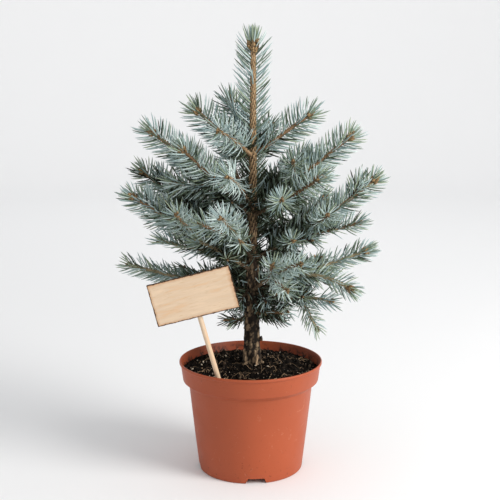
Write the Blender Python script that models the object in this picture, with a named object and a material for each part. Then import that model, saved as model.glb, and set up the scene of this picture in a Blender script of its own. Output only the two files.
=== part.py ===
"""A young blue spruce in a plastic nursery pot, with a blank wooden label on a stick.

Metres, +Z up. The origin is the middle of the pot's underside, and the label faces -Y.
Compass angles are in degrees: 0 is +X (right), 90 is +Y (the back) and -90 is the front.
"""

import math
import random

import bmesh
import bpy
from mathutils import Matrix, Vector, kdtree

SEED = 7
GAP = 0.0003  # clearance between pieces that touch

# The pot: a 19 cm nursery pot with a collar under its lip and drain notches in its foot.
POT_SIDES = 48
POT_HEIGHT = 0.148
POT_TOP_RADIUS = 0.095
LIP_HEIGHT = 0.003
LIP_PROUD = 0.0008
COLLAR_FOOT_RADIUS = 0.0902
COLLAR_FOOT_HEIGHT = 0.122
BODY_TOP_RADIUS = 0.0822
BODY_TOP_HEIGHT = 0.116
FOOT_RADIUS = 0.0697
FOOT_CHAMFER = 0.0025
FOOT_RING_WIDTH = 0.0029
WALL = 0.0018
BASE_RECESS = 0.009
BASE_THICKNESS = 0.002
NOTCHES = 4
NOTCH_TOP_WIDTH = 0.021
NOTCH_FOOT_WIDTH = 0.028
NOTCH_HEIGHT = 0.0072
NOTCH_DEPTH = 0.020
NOTCH_FIRST_ANGLE = -84
DRAIN_HOLES = 6
DRAIN_RADIUS = 0.006
DRAIN_CIRCLE = 0.046
DRAIN_SIDES = 12

# The compost's surface: its height at each distance from the middle, and at the pot's wall.
SOIL_SURFACE = ((0.0, 0.143), (0.024, 0.143), (0.045, 0.1395), (0.070, 0.137))
SOIL_EDGE_HEIGHT = 0.1355
SOIL_EDGE_ROUND = 0.0006

# The trunk: its radius at each height, from the root flare to the terminal bud.
TRUNK_SIDES = 12
TRUNK_FOOT = SOIL_SURFACE[0][1] + GAP
TRUNK_TOP = 0.5645
TRUNK_FOOT_X = 0.0015
TRUNK_LEAN = 0.0045  # how far its top stands right of its foot
TRUNK_RADII = (
    (TRUNK_FOOT, 0.0140),
    (0.148, 0.0125),
    (0.158, 0.0117),
    (0.173, 0.0113),
    (0.200, 0.0106),
    (0.225, 0.0098),
    (0.250, 0.0088),
    (0.275, 0.0080),
    (0.300, 0.0064),
    (0.330, 0.0060),
    (0.345, 0.0062),
    (0.365, 0.0053),
    (0.405, 0.0050),
    (0.419, 0.0050),
    (0.424, 0.0032),
    (0.428, 0.0020),
    (0.5515, 0.0017),
    (0.5555, 0.0030),
    (0.5595, 0.0022),
    (TRUNK_TOP, 0.0006),
)
FLARE_LOBES = 5
FLARE_DEPTH = 0.18
FLARE_TOP = 0.165

# Limbs.
BOUGH_SIDES = 6
BOUGH_STEP = 0.014
BOUGH_RADIUS = 0.0030
BARE_SHARE = 0.22  # the share of a bough's length that has no needles
BARE_FROM_REACH = 0.07  # shorter ones carry needles right from the trunk
BARE_BELOW = 0.40  # and so do those that leave the trunk above this height

# Stems: bare bark at the foot, then a core that stands for the dense inner needles.
STEM_RADIUS = 0.0025
TWIG_RADIUS = 0.0016
CORE_RADIUS = 0.0046
CORE_TIP_RADIUS = 0.0020
CORE_START = 0.022  # from the root to the full core
CORE_END = 0.018  # from the full core to the tip
BUD_LENGTH = 0.004
SHOOT_SIDES = 5

# Needles.
NEEDLE_PITCH = 0.0078  # from one ring of needles to the next
NEEDLE_LENGTH = 0.026  # from the stem's middle line
NEEDLE_VARIES = (0.88, 1.06)
NEEDLE_SPREAD = 58  # degrees from the shoot's direction
NEEDLE_SWING = (10, 26)  # degrees round the shoot, to one side and then the other
NEEDLE_LIFT = 0.16  # how much they turn up
TIP_SPREAD = 20
TIP_STRETCH = 0.016  # the last stretch, where the needles close round the bud
LENGTHS_TRIED = (1.0, 0.72, 0.48)

# The room that a needle keeps to.
AXIS_STEP = 0.0025
NEEDLE_SAMPLES = (0.1, 0.35, 0.6, 0.8, 1.0)
OWN_SPACE = 0.0034  # how much nearer to its own stem than to any other
LIMB_ROOM = 0.0052
TRUNK_ROOM = 0.0015
LABEL_ROOM = 0.004
LABEL_ROOM_BEHIND = 0.012

# Needles that stand on the trunk itself: name, foot, top, needle length and spread of each sleeve.
SLEEVES = (
    ("needles_leader", 0.430, 0.5605, 0.031, 50),
    ("needles_upper_trunk", 0.362, 0.403, 0.026, 62),
)
SLEEVE_SIDES = 6
SLEEVE_BARK = 0.0007

# The label: a thin wooden plate glued to a round stick, leaning to the left.
PLATE_SIZE = (0.106, 0.056, 0.003)
PLATE_TURN = -1.2  # degrees that the plate is turned on the stick, anticlockwise from the front
PLATE_BEVEL = 0.0004
PLATE_UP_STICK = 0.146  # from the stick's point to the middle of the plate
LABEL_LEAN = 15.5
LABEL_FORWARD_LEAN = 3.0
STICK_FOOT = Vector((-0.0325, -0.0672, 0.112))
STICK_RADIUS = 0.0032
STICK_LENGTH = 0.152
STICK_POINT_LENGTH = 0.016
STICK_POINT_RADIUS = 0.0010
STICK_SIDES = 12

# Each bough: name, height of its foot on the trunk, compass angle, how far out and how high
# its tip comes, how far its middle arches up, and its twigs. Each twig: the share of the bough
# where it leaves, compass angle, rise and length. None stands for a pair by the seeded rule.
BOUGHS = (
    ("top_right", 0.420, 18, 0.080, 0.472, 0.000, ()),
    ("top_front_left", 0.418, -123, 0.078, 0.456, 0.003, ()),
    ("top_left", 0.412, 165, 0.077, 0.478, 0.000, ()),
    ("top_back_left", 0.421, 120, 0.063, 0.489, 0.000, ()),
    ("top_back", 0.411, 68, 0.060, 0.455, 0.000, ()),
    (
        "upper_right", 0.350, 13, 0.134, 0.444, -0.003,
        ((0.42, -94, 24, 0.078), (0.55, 75, 18, 0.055)),
    ),
    ("upper_front_right", 0.341, -44, 0.115, 0.400, -0.002, ((0.35, -86, 12, 0.085),)),
    ("upper_front_left", 0.349, -107, 0.105, 0.403, 0.008, ()),
    ("upper_left_front", 0.340, -146, 0.107, 0.434, 0.000, ((0.50, 168, 0, 0.060),)),
    ("upper_left", 0.351, 172, 0.136, 0.451, 0.000, ((0.52, 122, 18, 0.055),)),
    ("upper_back_right", 0.339, 48, 0.104, 0.415, 0.000, None),
    ("upper_back_left", 0.342, 110, 0.100, 0.418, 0.000, None),
    (
        "middle_right", 0.283, 7, 0.163, 0.387, -0.006,
        ((0.47, -75, 20, 0.075), (0.36, -19, 14, 0.088), (0.25, -80, 12, 0.066), (0.56, 62, 15, 0.058)),
    ),
    (
        "middle_left", 0.276, -173, 0.157, 0.370, -0.002,
        ((0.42, -110, 27, 0.092), (0.60, 140, 8, 0.050)),
    ),
    ("middle_left_back", 0.285, 158, 0.162, 0.394, 0.000, ((0.50, 112, 10, 0.058),)),
    (
        "middle_front_left", 0.284, -105, 0.144, 0.359, 0.004,
        ((0.50, -141, 21, 0.062), (0.35, -92, 12, 0.050)),
    ),
    ("middle_low_left", 0.267, -135, 0.099, 0.321, 0.003, ((0.62, 162, 6, 0.080),)),
    ("middle_back_right", 0.274, 45, 0.142, 0.352, 0.000, None),
    ("middle_back", 0.284, 86, 0.139, 0.345, 0.002, None),
    ("middle_back_left", 0.275, 126, 0.144, 0.350, 0.000, None),
    ("lower_right", 0.241, 7, 0.155, 0.292, 0.000, ((0.50, 60, 20, 0.048),)),
    ("lower_right_front", 0.232, -23, 0.137, 0.254, 0.025, ()),
    (
        "lower_front_right", 0.240, -61, 0.122, 0.298, 0.006,
        ((0.35, -85, 29, 0.055), (0.42, -68, -10, 0.050)),
    ),
    ("lower_low_right", 0.221, -16, 0.107, 0.234, 0.008, ((0.62, -5, -63, 0.048),)),
    ("lower_low_front", 0.209, -46, 0.056, 0.220, 0.003, ()),
    ("lower_left", 0.240, 177, 0.164, 0.275, -0.002, ((0.52, 142, 2, 0.056),)),
    ("lower_low_left", 0.199, -170, 0.036, 0.203, 0.002, ()),
    ("lower_back_right", 0.230, 46, 0.144, 0.272, 0.004, None),
    ("lower_back", 0.239, 93, 0.138, 0.262, 0.006, None),
    ("lower_back_left", 0.231, 136, 0.144, 0.264, 0.002, None),
)
PAIR_SHARES = (0.42, 0.60)
PAIR_SWING = (38, 58)
PAIR_RISE = (6, 20)
PAIR_LENGTH = (0.36, 0.46)  # of the bough's own length


# ---------------------------------------------------------------- objects and materials


def clear_scene():
    for obj in list(bpy.data.objects):
        bpy.data.objects.remove(obj, do_unlink=True)


def material(name, colour, roughness, metallic=0.0):
    made = bpy.data.materials.new(name)
    made.use_nodes = True
    shader = made.node_tree.nodes["Principled BSDF"]
    shader.inputs["Base Color"].default_value = (*colour, 1.0)
    shader.inputs["Roughness"].default_value = roughness
    shader.inputs["Metallic"].default_value = metallic
    made.diffuse_color = (*colour, 1.0)
    return made


def object_of(bm, name, finish, smooth_angle=None):
    """A linked object that holds the bmesh."""
    mesh = bpy.data.meshes.new(name)
    bm.to_mesh(mesh)
    bm.free()
    mesh.materials.append(finish)
    if smooth_angle is not None:
        mesh.shade_smooth()
        mesh.set_sharp_from_angle(angle=math.radians(smooth_angle))
    obj = bpy.data.objects.new(name, mesh)
    bpy.context.scene.collection.objects.link(obj)
    return obj


def boolean(obj, operation, others):
    """Joins or cuts obj with the other objects in one applied Boolean, and removes them."""
    group = bpy.data.collections.new(f"{obj.name}_{operation.lower()}")
    for other in others:
        group.objects.link(other)
    modifier = obj.modifiers.new(operation.title(), "BOOLEAN")
    modifier.operation = operation
    modifier.solver = "MANIFOLD"
    modifier.operand_type = "COLLECTION"
    modifier.collection = group
    bpy.context.view_layer.update()
    graph = bpy.context.evaluated_depsgraph_get()
    joined = bpy.data.meshes.new_from_object(obj.evaluated_get(graph))
    obj.modifiers.clear()
    obj.data = joined
    for other in others:
        bpy.data.objects.remove(other, do_unlink=True)
    bpy.data.collections.remove(group)


def keep_main_shell(obj):
    """Drops the small closed pockets that crossing needles leave inside a joined mass."""
    bm = bmesh.new()
    bm.from_mesh(obj.data)
    shells, left = [], set(bm.faces)
    while left:
        shell, reached = set(), [left.pop()]
        while reached:
            face = reached.pop()
            shell.add(face)
            near = {f for e in face.edges for f in e.link_faces} & left
            left -= near
            reached += near
        shells.append(shell)
    shells.sort(key=len)
    for shell in shells[:-1]:
        bmesh.ops.delete(bm, geom=list({v for f in shell for v in f.verts}), context="VERTS")
    bm.to_mesh(obj.data)
    bm.free()


# ---------------------------------------------------------------- curves and tubes


def compass(azimuth, rise=0.0):
    """The unit vector towards a compass angle and a rise, both in degrees."""
    a, e = math.radians(azimuth), math.radians(rise)
    return Vector((math.cos(a) * math.cos(e), math.sin(a) * math.cos(e), math.sin(e)))


def arched(start, end, bow, share):
    """The point at a share of the way along a parabola whose middle is bow above the chord."""
    middle = (start + end) / 2 + Vector((0, 0, 2 * bow))
    return start.lerp(middle, share).lerp(middle.lerp(end, share), share)


def interpolate(table, at):
    """The value at one place of a table of (place, value), straight between its rows."""
    for (low, first), (high, second) in zip(table, table[1:]):
        if at <= high:
            return first + (second - first) * max(0.0, (at - low) / (high - low))
    return table[-1][1]


def frames_along(points, radii, roll=0.0):
    """A matrix for each ring: at its point, square to the path, scaled by its radius."""
    steps = [(b - a).normalized() for a, b in zip(points, points[1:])]
    tangents = [steps[0], *[(a + b).normalized() for a, b in zip(steps, steps[1:])], steps[-1]]
    turn = Vector((0, 0, 1)).rotation_difference(tangents[0])
    spin = Matrix.Rotation(roll, 4, "Z")
    frames = []
    for i, (point, radius) in enumerate(zip(points, radii)):
        if i:
            turn = tangents[i - 1].rotation_difference(tangents[i]) @ turn
        place = Matrix.Translation(point) @ turn.to_matrix().to_4x4()
        frames.append(place @ spin @ Matrix.Diagonal((radius, radius, radius, 1)))
    return frames


def extruded_tube(bm, frames, sides):
    """A closed tube: a capped circle, extruded from frame to frame.

    Returns its first ring, the side faces of each stretch and its far cap."""
    circle = bmesh.ops.create_circle(bm, cap_ends=True, segments=sides, radius=1.0, matrix=frames[0])
    first = circle["verts"]
    cap = first[0].link_faces[0]
    stretches = []
    for here, there in zip(frames, frames[1:]):
        made = bmesh.ops.extrude_face_region(bm, geom=[cap])["geom"]
        if stretches:
            bmesh.ops.delete(bm, geom=[cap], context="FACES_ONLY")
        ring = [g for g in made if isinstance(g, bmesh.types.BMVert)]
        cap = next(g for g in made if isinstance(g, bmesh.types.BMFace))
        bmesh.ops.transform(bm, matrix=there @ here.inverted(), verts=ring)
        stretches.append([f for f in {f for v in ring for f in v.link_faces} if f != cap])
    bmesh.ops.recalc_face_normals(bm, faces=bm.faces[:])
    return first, stretches, cap


def face_of(ring):
    """The face that a ring of verts bounds by itself."""
    return next(f for f in ring[0].link_faces if all(v in ring for v in f.verts))


def turned(name, profile, finish, smooth_angle=35):
    """A solid turned about Z from a profile of (radius, height) between two points on the axis."""
    bm = bmesh.new()
    verts = [bm.verts.new((radius, 0, height)) for radius, height in profile]
    edges = [bm.edges.new(pair) for pair in zip(verts, verts[1:])]
    bmesh.ops.spin(
        bm, geom=verts + edges, axis=(0, 0, 1), cent=(0, 0, 0), angle=math.tau, steps=POT_SIDES,
        use_merge=True,
    )
    bmesh.ops.remove_doubles(bm, verts=bm.verts[:], dist=1e-6)
    bmesh.ops.recalc_face_normals(bm, faces=bm.faces[:])
    return object_of(bm, name, finish, smooth_angle)


# ---------------------------------------------------------------- pot and compost


def pot_radius(height):
    """The outer radius of the pot's wall."""
    profile = (
        (0.0, FOOT_RADIUS - FOOT_CHAMFER / 2),
        (FOOT_CHAMFER, FOOT_RADIUS),
        (BODY_TOP_HEIGHT, BODY_TOP_RADIUS),
        (COLLAR_FOOT_HEIGHT, COLLAR_FOOT_RADIUS),
        (POT_HEIGHT, POT_TOP_RADIUS),
    )
    return interpolate(profile, height)


def notch_cutter(angle, finish):
    """A block with sloping sides that cuts one drain notch through the foot of the wall."""
    bm = bmesh.new()
    size = Matrix.Diagonal((NOTCH_DEPTH, NOTCH_TOP_WIDTH, 2 * NOTCH_HEIGHT, 1))
    verts = bmesh.ops.create_cube(bm, size=1.0, matrix=size)["verts"]
    for vert in verts:
        if vert.co.z < 0:
            vert.co.y *= 2 * NOTCH_FOOT_WIDTH / NOTCH_TOP_WIDTH - 1
    place = Matrix.Rotation(math.radians(angle), 4, "Z") @ Matrix.Translation((FOOT_RADIUS, 0, 0))
    bmesh.ops.transform(bm, matrix=place, verts=verts)
    return object_of(bm, f"notch_{angle:.0f}", finish)


def drain_cutter(angle, finish):
    """A round bar that cuts one drain hole through the base."""
    bm = bmesh.new()
    turn = Matrix.Rotation(math.radians(angle), 4, "Z")
    bmesh.ops.create_cone(
        bm, cap_ends=True, segments=DRAIN_SIDES, radius1=DRAIN_RADIUS, radius2=DRAIN_RADIUS,
        depth=2 * BASE_RECESS, matrix=turn @ Matrix.Translation((DRAIN_CIRCLE, 0, BASE_RECESS)),
    )
    return object_of(bm, f"drain_{angle:.0f}", finish)


def make_pot(finish):
    base_top = BASE_RECESS + BASE_THICKNESS
    pot = turned(
        "pot",
        [
            (0.0, BASE_RECESS),
            (pot_radius(BASE_RECESS) - 2 * WALL, BASE_RECESS),
            (pot_radius(0.0) - FOOT_RING_WIDTH, 0.0),
            (pot_radius(0.0), 0.0),
            (FOOT_RADIUS, FOOT_CHAMFER),
            (BODY_TOP_RADIUS, BODY_TOP_HEIGHT),
            (COLLAR_FOOT_RADIUS, COLLAR_FOOT_HEIGHT),
            (POT_TOP_RADIUS - LIP_PROUD, POT_HEIGHT - LIP_HEIGHT),
            (POT_TOP_RADIUS, POT_HEIGHT - LIP_HEIGHT / 2),
            (POT_TOP_RADIUS - LIP_PROUD, POT_HEIGHT),
            (POT_TOP_RADIUS - WALL, POT_HEIGHT),
            (COLLAR_FOOT_RADIUS - WALL, COLLAR_FOOT_HEIGHT + WALL / 3),
            (BODY_TOP_RADIUS - WALL, BODY_TOP_HEIGHT + WALL / 3),
            (pot_radius(base_top) - WALL, base_top),
            (0.0, base_top),
        ],
        finish,
    )
    cutters = [notch_cutter(NOTCH_FIRST_ANGLE + 360 / NOTCHES * i, finish) for i in range(NOTCHES)]
    for i in range(DRAIN_HOLES):
        cutters.append(drain_cutter(NOTCH_FIRST_ANGLE + 360 / DRAIN_HOLES * i, finish))
    boolean(pot, "DIFFERENCE", cutters)


def make_soil(finish, stick_hole):
    """The compost: it fills the pot, is crowned in the middle, and has the stick's hole."""
    inset = WALL + GAP
    low = BASE_RECESS + BASE_THICKNESS + GAP
    soil = turned(
        "soil",
        [
            (0.0, low),
            (pot_radius(low) - inset, low),
            (BODY_TOP_RADIUS - inset, BODY_TOP_HEIGHT + WALL / 3),
            (COLLAR_FOOT_RADIUS - inset, COLLAR_FOOT_HEIGHT + WALL / 3),
            (pot_radius(SOIL_EDGE_HEIGHT) - inset - SOIL_EDGE_ROUND, SOIL_EDGE_HEIGHT),
            *reversed(SOIL_SURFACE),
        ],
        finish,
    )
    boolean(soil, "DIFFERENCE", [stick_hole])


# ---------------------------------------------------------------- trunk


def trunk_axis(height):
    """The middle of the trunk at a height; it leans a little to the right as it rises."""
    share = (height - TRUNK_FOOT) / (TRUNK_TOP - TRUNK_FOOT)
    return Vector((TRUNK_FOOT_X + TRUNK_LEAN * share * share, 0.0, height))


def trunk_radius(height):
    return interpolate(TRUNK_RADII, height)


def from_trunk(point):
    """The level vector from the trunk's middle to a point."""
    return (point - trunk_axis(point.z)) * Vector((1, 1, 0))


def flared(point):
    """A point of the trunk's foot moved out or in to the ridges between its roots."""
    out = from_trunk(point)
    fade = max(0.0, FLARE_TOP - point.z) / (FLARE_TOP - TRUNK_FOOT)
    return point + out * FLARE_DEPTH * fade * math.cos(FLARE_LOBES * math.atan2(out.y, out.x))


def make_trunk(finish):
    bm = bmesh.new()
    points = [trunk_axis(height) for height, _ in TRUNK_RADII]
    extruded_tube(bm, frames_along(points, [radius for _, radius in TRUNK_RADII]), TRUNK_SIDES)
    for vert in bm.verts:
        vert.co = flared(vert.co)
        vert.co.z = max(vert.co.z, TRUNK_FOOT)
    object_of(bm, "trunk", finish, 40)


def clear_of_trunk(point, direction):
    """The point slid along a direction until it stands GAP clear of the trunk's surface."""
    for _ in range(20):
        out = from_trunk(point)
        error = out.length - trunk_radius(point.z) - GAP
        point = point - direction * (error / max(0.3, out.normalized().dot(direction)))
    return point


def seat_on_trunk(bm, ring, direction):
    """Fits the foot of a tube to the trunk's round, GAP clear of it."""
    middle = bmesh.ops.poke(bm, faces=[face_of(ring)])["verts"][0]
    for vert in [*ring, middle]:
        vert.co = clear_of_trunk(vert.co, direction)


# ---------------------------------------------------------------- the plan of limbs and shoots


class Shoot:
    """A stem that carries needles: its path, its radii and the mass that it belongs to."""

    def __init__(self, mass, points, root_radius, on_trunk=False):
        self.mass = mass
        self.points = points
        self.on_trunk = on_trunk
        steps = [(b - a).length for a, b in zip(points, points[1:])]
        from_root = [sum(steps[:i]) for i in range(len(points))]
        self.to_end = [sum(steps[i:]) for i in range(len(points))]
        self.radii = [self.core_radius(a, b, root_radius) for a, b in zip(from_root, self.to_end)]

    @staticmethod
    def core_radius(from_root, to_end, root_radius):
        """The dense inner needles swell the stem from its root, and close in at its tip."""
        swelling = root_radius + (CORE_RADIUS - root_radius) * min(1.0, from_root / CORE_START)
        closing = CORE_TIP_RADIUS + (CORE_RADIUS - CORE_TIP_RADIUS) * min(1.0, to_end / CORE_END)
        return min(swelling, closing)

    def samples(self):
        """Points close together along the path."""
        found = []
        for a, b in zip(self.points, self.points[1:]):
            count = max(1, round((b - a).length / AXIS_STEP))
            found += [a.lerp(b, i / count) for i in range(count)]
        return [*found, self.points[-1]]


def ruled_pair(azimuth, length, draw):
    """Two twigs for a bough that states none: one to each side, the second further out."""
    pair = []
    side = draw.choice((-1, 1))
    for share in PAIR_SHARES:
        towards = azimuth + side * draw.uniform(*PAIR_SWING)
        pair.append((share, towards, draw.uniform(*PAIR_RISE), length * draw.uniform(*PAIR_LENGTH)))
        side = -side
    return pair


def spaced(path, first, length):
    """Points about one needle pitch apart along a path, from its share first to its end."""
    count = max(3, round(length * (1 - first) / NEEDLE_PITCH))
    return [path(first + (1 - first) * i / count) for i in range(count + 1)]


def grow_bough(name, foot, azimuth, reach, height, bow, twigs, draw):
    """One bough's bare limb, or None, and its shoots."""
    start = trunk_axis(foot)
    end = trunk_axis(height) + compass(azimuth) * reach
    length = (end - start).length

    def path(share):
        return arched(start, end, bow, share)

    towards = (path(0.1) - start).normalized()
    seat = (clear_of_trunk(path(0.1), towards) - start).length / length
    limb, first = None, seat
    if reach > BARE_FROM_REACH and foot < BARE_BELOW:
        steps = max(2, round(length * (BARE_SHARE - seat) / BOUGH_STEP))
        limb = [path(seat + (BARE_SHARE - seat) * i / steps) for i in range(steps + 1)]
        first = BARE_SHARE + GAP / length
    shoots = [Shoot(name, spaced(path, first, length), STEM_RADIUS, on_trunk=limb is None)]
    for share, azimuth_of_twig, rise, twig_length in twigs:
        root = path(share)
        tip = root + compass(azimuth_of_twig, rise) * twig_length
        shoots.append(Shoot(name, spaced(lambda t: root.lerp(tip, t), 0.0, twig_length), TWIG_RADIUS))
    return limb, shoots


def grow_plan():
    """The limbs, as {name: points}, and the shoots of every mass."""
    draw = random.Random(SEED)
    limbs, shoots = {}, []
    for name, foot, azimuth, reach, height, bow, twigs in BOUGHS:
        if twigs is None:
            twigs = ruled_pair(azimuth, math.hypot(reach, height - foot), draw)
        limb, grown = grow_bough(name, foot, azimuth, reach, height, bow, twigs, draw)
        if limb:
            limbs[name] = limb
        shoots += grown
    return limbs, shoots


# ---------------------------------------------------------------- needles


class Near:
    """Tells how far a point is from the nearest of some points."""

    def __init__(self, points):
        self.tree = kdtree.KDTree(max(1, len(points)))
        for i, point in enumerate(points):
            self.tree.insert(point, i)
        self.tree.balance()

    def distance(self, point):
        found = self.tree.find(point)[2]
        return math.inf if found is None else found


class Room:
    """Says whether a needle keeps to its own stem's space, clear of limbs, trunk and label."""

    def __init__(self, own, others, limbs):
        self.own = Near(own)
        self.others = Near(others)
        self.limbs = Near(limbs)

    def holds(self, point):
        return (
            self.others.distance(point) > self.own.distance(point) + OWN_SPACE
            and self.limbs.distance(point) > LIMB_ROOM
            and from_trunk(point).length > trunk_radius(point.z) + TRUNK_ROOM
            and not by_label(point)
        )

    def fits(self, root, tip):
        return all(self.holds(root.lerp(tip, share)) for share in NEEDLE_SAMPLES)


def needle_tip(foot, outward, along, to_end, length, spread):
    """Where a needle ends that starts at foot, on the shoot's middle line: it leans towards the
    shoot's end, more so near the bud."""
    near_bud = max(0.0, 1 - to_end / TIP_STRETCH)
    angle = math.radians(spread + (TIP_SPREAD - spread) * near_bud)
    direction = outward * math.sin(angle) + along * math.cos(angle)
    direction.z += NEEDLE_LIFT * (1 - near_bud)
    return foot + direction.normalized() * length


def raise_needle(bm, face, tip, room):
    """Draws one face out to a needle, as long as its space allows."""
    root = face.calc_center_median()
    for share in LENGTHS_TRIED:
        end = root.lerp(tip, share)
        if room.fits(root, end):
            bmesh.ops.poke(bm, faces=[face])["verts"][0].co = end
            return


def raise_needles(bm, stretches, path, to_end, room, draw, length=NEEDLE_LENGTH, spread=NEEDLE_SPREAD):
    """Draws the faces of a tube out to needles, stretch by stretch."""
    for i, faces in enumerate(stretches):
        along = (path[i + 1] - path[i]).normalized()
        for face in sorted(faces, key=lambda f: f.calc_center_median()[:]):
            centre = face.calc_center_median()
            foot = path[i] + along * (centre - path[i]).dot(along)
            swing = math.radians(draw.uniform(*NEEDLE_SWING)) * (-1) ** i
            outward = Matrix.Rotation(swing, 3, along) @ (centre - foot).normalized()
            this_length = length * draw.uniform(*NEEDLE_VARIES)
            tip = needle_tip(foot, outward, along, to_end[i + 1], this_length, spread)
            raise_needle(bm, face, tip, room)


def shoot_object(shoot, room, draw, finish):
    """One stem with its needles, as a closed solid."""
    bm = bmesh.new()
    frames = frames_along(shoot.points, shoot.radii, draw.uniform(0, math.tau))
    first, stretches, cap = extruded_tube(bm, frames, SHOOT_SIDES)
    if shoot.on_trunk:
        seat_on_trunk(bm, first, (shoot.points[1] - shoot.points[0]).normalized())
    raise_needles(bm, stretches, shoot.points, shoot.to_end, room, draw)
    bud = bmesh.ops.poke(bm, faces=[cap])["verts"][0]
    bud.co += (shoot.points[-1] - shoot.points[-2]).normalized() * BUD_LENGTH
    return object_of(bm, f"needles_{shoot.mass}", finish)


def make_masses(shoots, limbs, finish):
    """One node for each mass: its twigs fused to its stem."""
    draw = random.Random(SEED + 1)
    limb_points = []
    for points in limbs.values():
        limb_points += [a.lerp(b, share) for a, b in zip(points, points[1:]) for share in (0, 0.5, 1)]
    sleeved = []
    for _, foot, top, _, _ in SLEEVES:
        sleeved += [trunk_axis(foot + AXIS_STEP * i) for i in range(round((top - foot) / AXIS_STEP))]
    samples = [shoot.samples() for shoot in shoots]
    for mass in dict.fromkeys(shoot.mass for shoot in shoots):
        made = []
        for k, shoot in enumerate(shoots):
            if shoot.mass == mass:
                others = [p for i, found in enumerate(samples) if i != k for p in found]
                room = Room(samples[k], others + sleeved, limb_points)
                made.append(shoot_object(shoot, room, draw, finish))
        if len(made) > 1:
            boolean(made[0], "UNION", made[1:])
            keep_main_shell(made[0])
        made[0].name = f"needles_{mass}"


def make_sleeve(name, foot, top, needle_length, spread, shoots, finish):
    """Needles round a stretch of the trunk: a thin sleeve clear of it, its faces drawn out."""
    draw = random.Random(SEED + 2)
    count = round((top - foot) / NEEDLE_PITCH)
    step = (top - foot) / count
    path = [trunk_axis(foot + step * i) for i in range(count + 1)]
    widest = [max(trunk_radius(p.z + step * k / 4) for k in range(-4, 5)) for p in path]
    to_corner = 1 / math.cos(math.pi / SLEEVE_SIDES)
    radii = [(radius + GAP) * to_corner + SLEEVE_BARK for radius in widest]
    bm = bmesh.new()
    first, stretches, cap = extruded_tube(bm, frames_along(path, radii), SLEEVE_SIDES)
    bmesh.ops.delete(bm, geom=[face_of(first), cap], context="FACES_ONLY")
    bmesh.ops.solidify(bm, geom=bm.faces[:], thickness=SLEEVE_BARK)
    own = [trunk_axis(foot + step * i / 4) for i in range(4 * count + 1)]
    room = Room(own, [p for shoot in shoots for p in shoot.samples()], [])
    to_end = [TRUNK_TOP - p.z for p in path]
    raise_needles(bm, stretches, path, to_end, room, draw, needle_length, spread)
    object_of(bm, name, finish)


def make_boughs(limbs, finish):
    for name, points in limbs.items():
        last = len(points) - 1
        radii = [BOUGH_RADIUS + (STEM_RADIUS - BOUGH_RADIUS) * i / last for i in range(last + 1)]
        bm = bmesh.new()
        first, _, _ = extruded_tube(bm, frames_along(points, radii), BOUGH_SIDES)
        seat_on_trunk(bm, first, (points[1] - points[0]).normalized())
        object_of(bm, f"bough_{name}", finish, 40)


# ---------------------------------------------------------------- label


def label_frame():
    """The plate's middle and its axes: right, up the stick, and towards the front."""
    lean, forward = math.radians(LABEL_LEAN), math.radians(LABEL_FORWARD_LEAN)
    up = Vector((-math.sin(lean), -math.sin(forward), math.cos(lean))).normalized()
    right = Vector((0, 1, 0)).cross(up).normalized()
    front = right.cross(up)
    middle = STICK_FOOT + up * PLATE_UP_STICK + front * (STICK_RADIUS + GAP + PLATE_SIZE[2] / 2)
    return middle, right, up, front


def by_label(point):
    """Whether a point is close to the label's plate or stick, or anywhere in front of them."""
    middle, right, up, front = label_frame()
    away = point - middle
    if away.dot(front) < -LABEL_ROOM_BEHIND:
        return False
    aside = abs(away.dot(right))
    by_plate = aside < PLATE_SIZE[0] / 2 + LABEL_ROOM and abs(away.dot(up)) < PLATE_SIZE[1] / 2 + LABEL_ROOM
    by_stick = aside < STICK_RADIUS + LABEL_ROOM and away.dot(up) < 0
    return by_plate or by_stick


def make_stick(finish, name="label_stick", grow=0.0):
    """The stick with its blunt point; grown all round, it is the cutter of its own hole."""
    _, _, up, _ = label_frame()
    points = [STICK_FOOT - up * grow, STICK_FOOT + up * STICK_POINT_LENGTH, STICK_FOOT + up * STICK_LENGTH]
    radii = [STICK_POINT_RADIUS + grow, STICK_RADIUS + grow, STICK_RADIUS + grow]
    bm = bmesh.new()
    extruded_tube(bm, frames_along(points, radii), STICK_SIDES)
    return object_of(bm, name, finish, 40)


def make_plate(finish):
    middle, right, up, front = label_frame()
    turn = Matrix((right, up, front)).transposed().to_4x4()
    turn = turn @ Matrix.Rotation(math.radians(PLATE_TURN), 4, "Z")
    place = Matrix.Translation(middle) @ turn @ Matrix.Diagonal((*PLATE_SIZE, 1))
    bm = bmesh.new()
    bmesh.ops.create_cube(bm, size=1.0, matrix=place)
    bmesh.ops.bevel(bm, geom=bm.edges[:], offset=PLATE_BEVEL, segments=1, affect="EDGES", profile=0.5)
    object_of(bm, "label_plate", finish)


# ---------------------------------------------------------------- the whole plant


def main():
    clear_scene()
    plastic = material("Pot plastic", (0.52, 0.17, 0.09), 0.5)
    compost = material("Compost", (0.025, 0.017, 0.012), 0.95)
    bark = material("Bark", (0.13, 0.085, 0.055), 0.9)
    needles = material("Blue needles", (0.25, 0.37, 0.38), 0.6)
    wood = material("Label wood", (0.72, 0.50, 0.30), 0.7)
    make_pot(plastic)
    make_plate(wood)
    make_stick(wood)
    make_soil(compost, make_stick(wood, "stick_hole", grow=GAP))
    make_trunk(bark)
    limbs, shoots = grow_plan()
    make_boughs(limbs, bark)
    make_masses(shoots, limbs, needles)
    for sleeve in SLEEVES:
        make_sleeve(*sleeve, shoots, needles)


if __name__ == "__main__":
    main()
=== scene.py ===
"""Dresses a young potted blue spruce: bark, twigs, buds and needles, compost, pot and a bare label.

Metres, +Z up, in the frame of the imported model. The label faces -Y.
Compass angles are in degrees: 0 is +X (right), 90 is +Y (the back) and -90 is the front.
"""

import math
import random

import bmesh
import bpy
import numpy as np
from bpy.props import FloatProperty, FloatVectorProperty, IntProperty, PointerProperty
from mathutils import Matrix, Vector, noise


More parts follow.
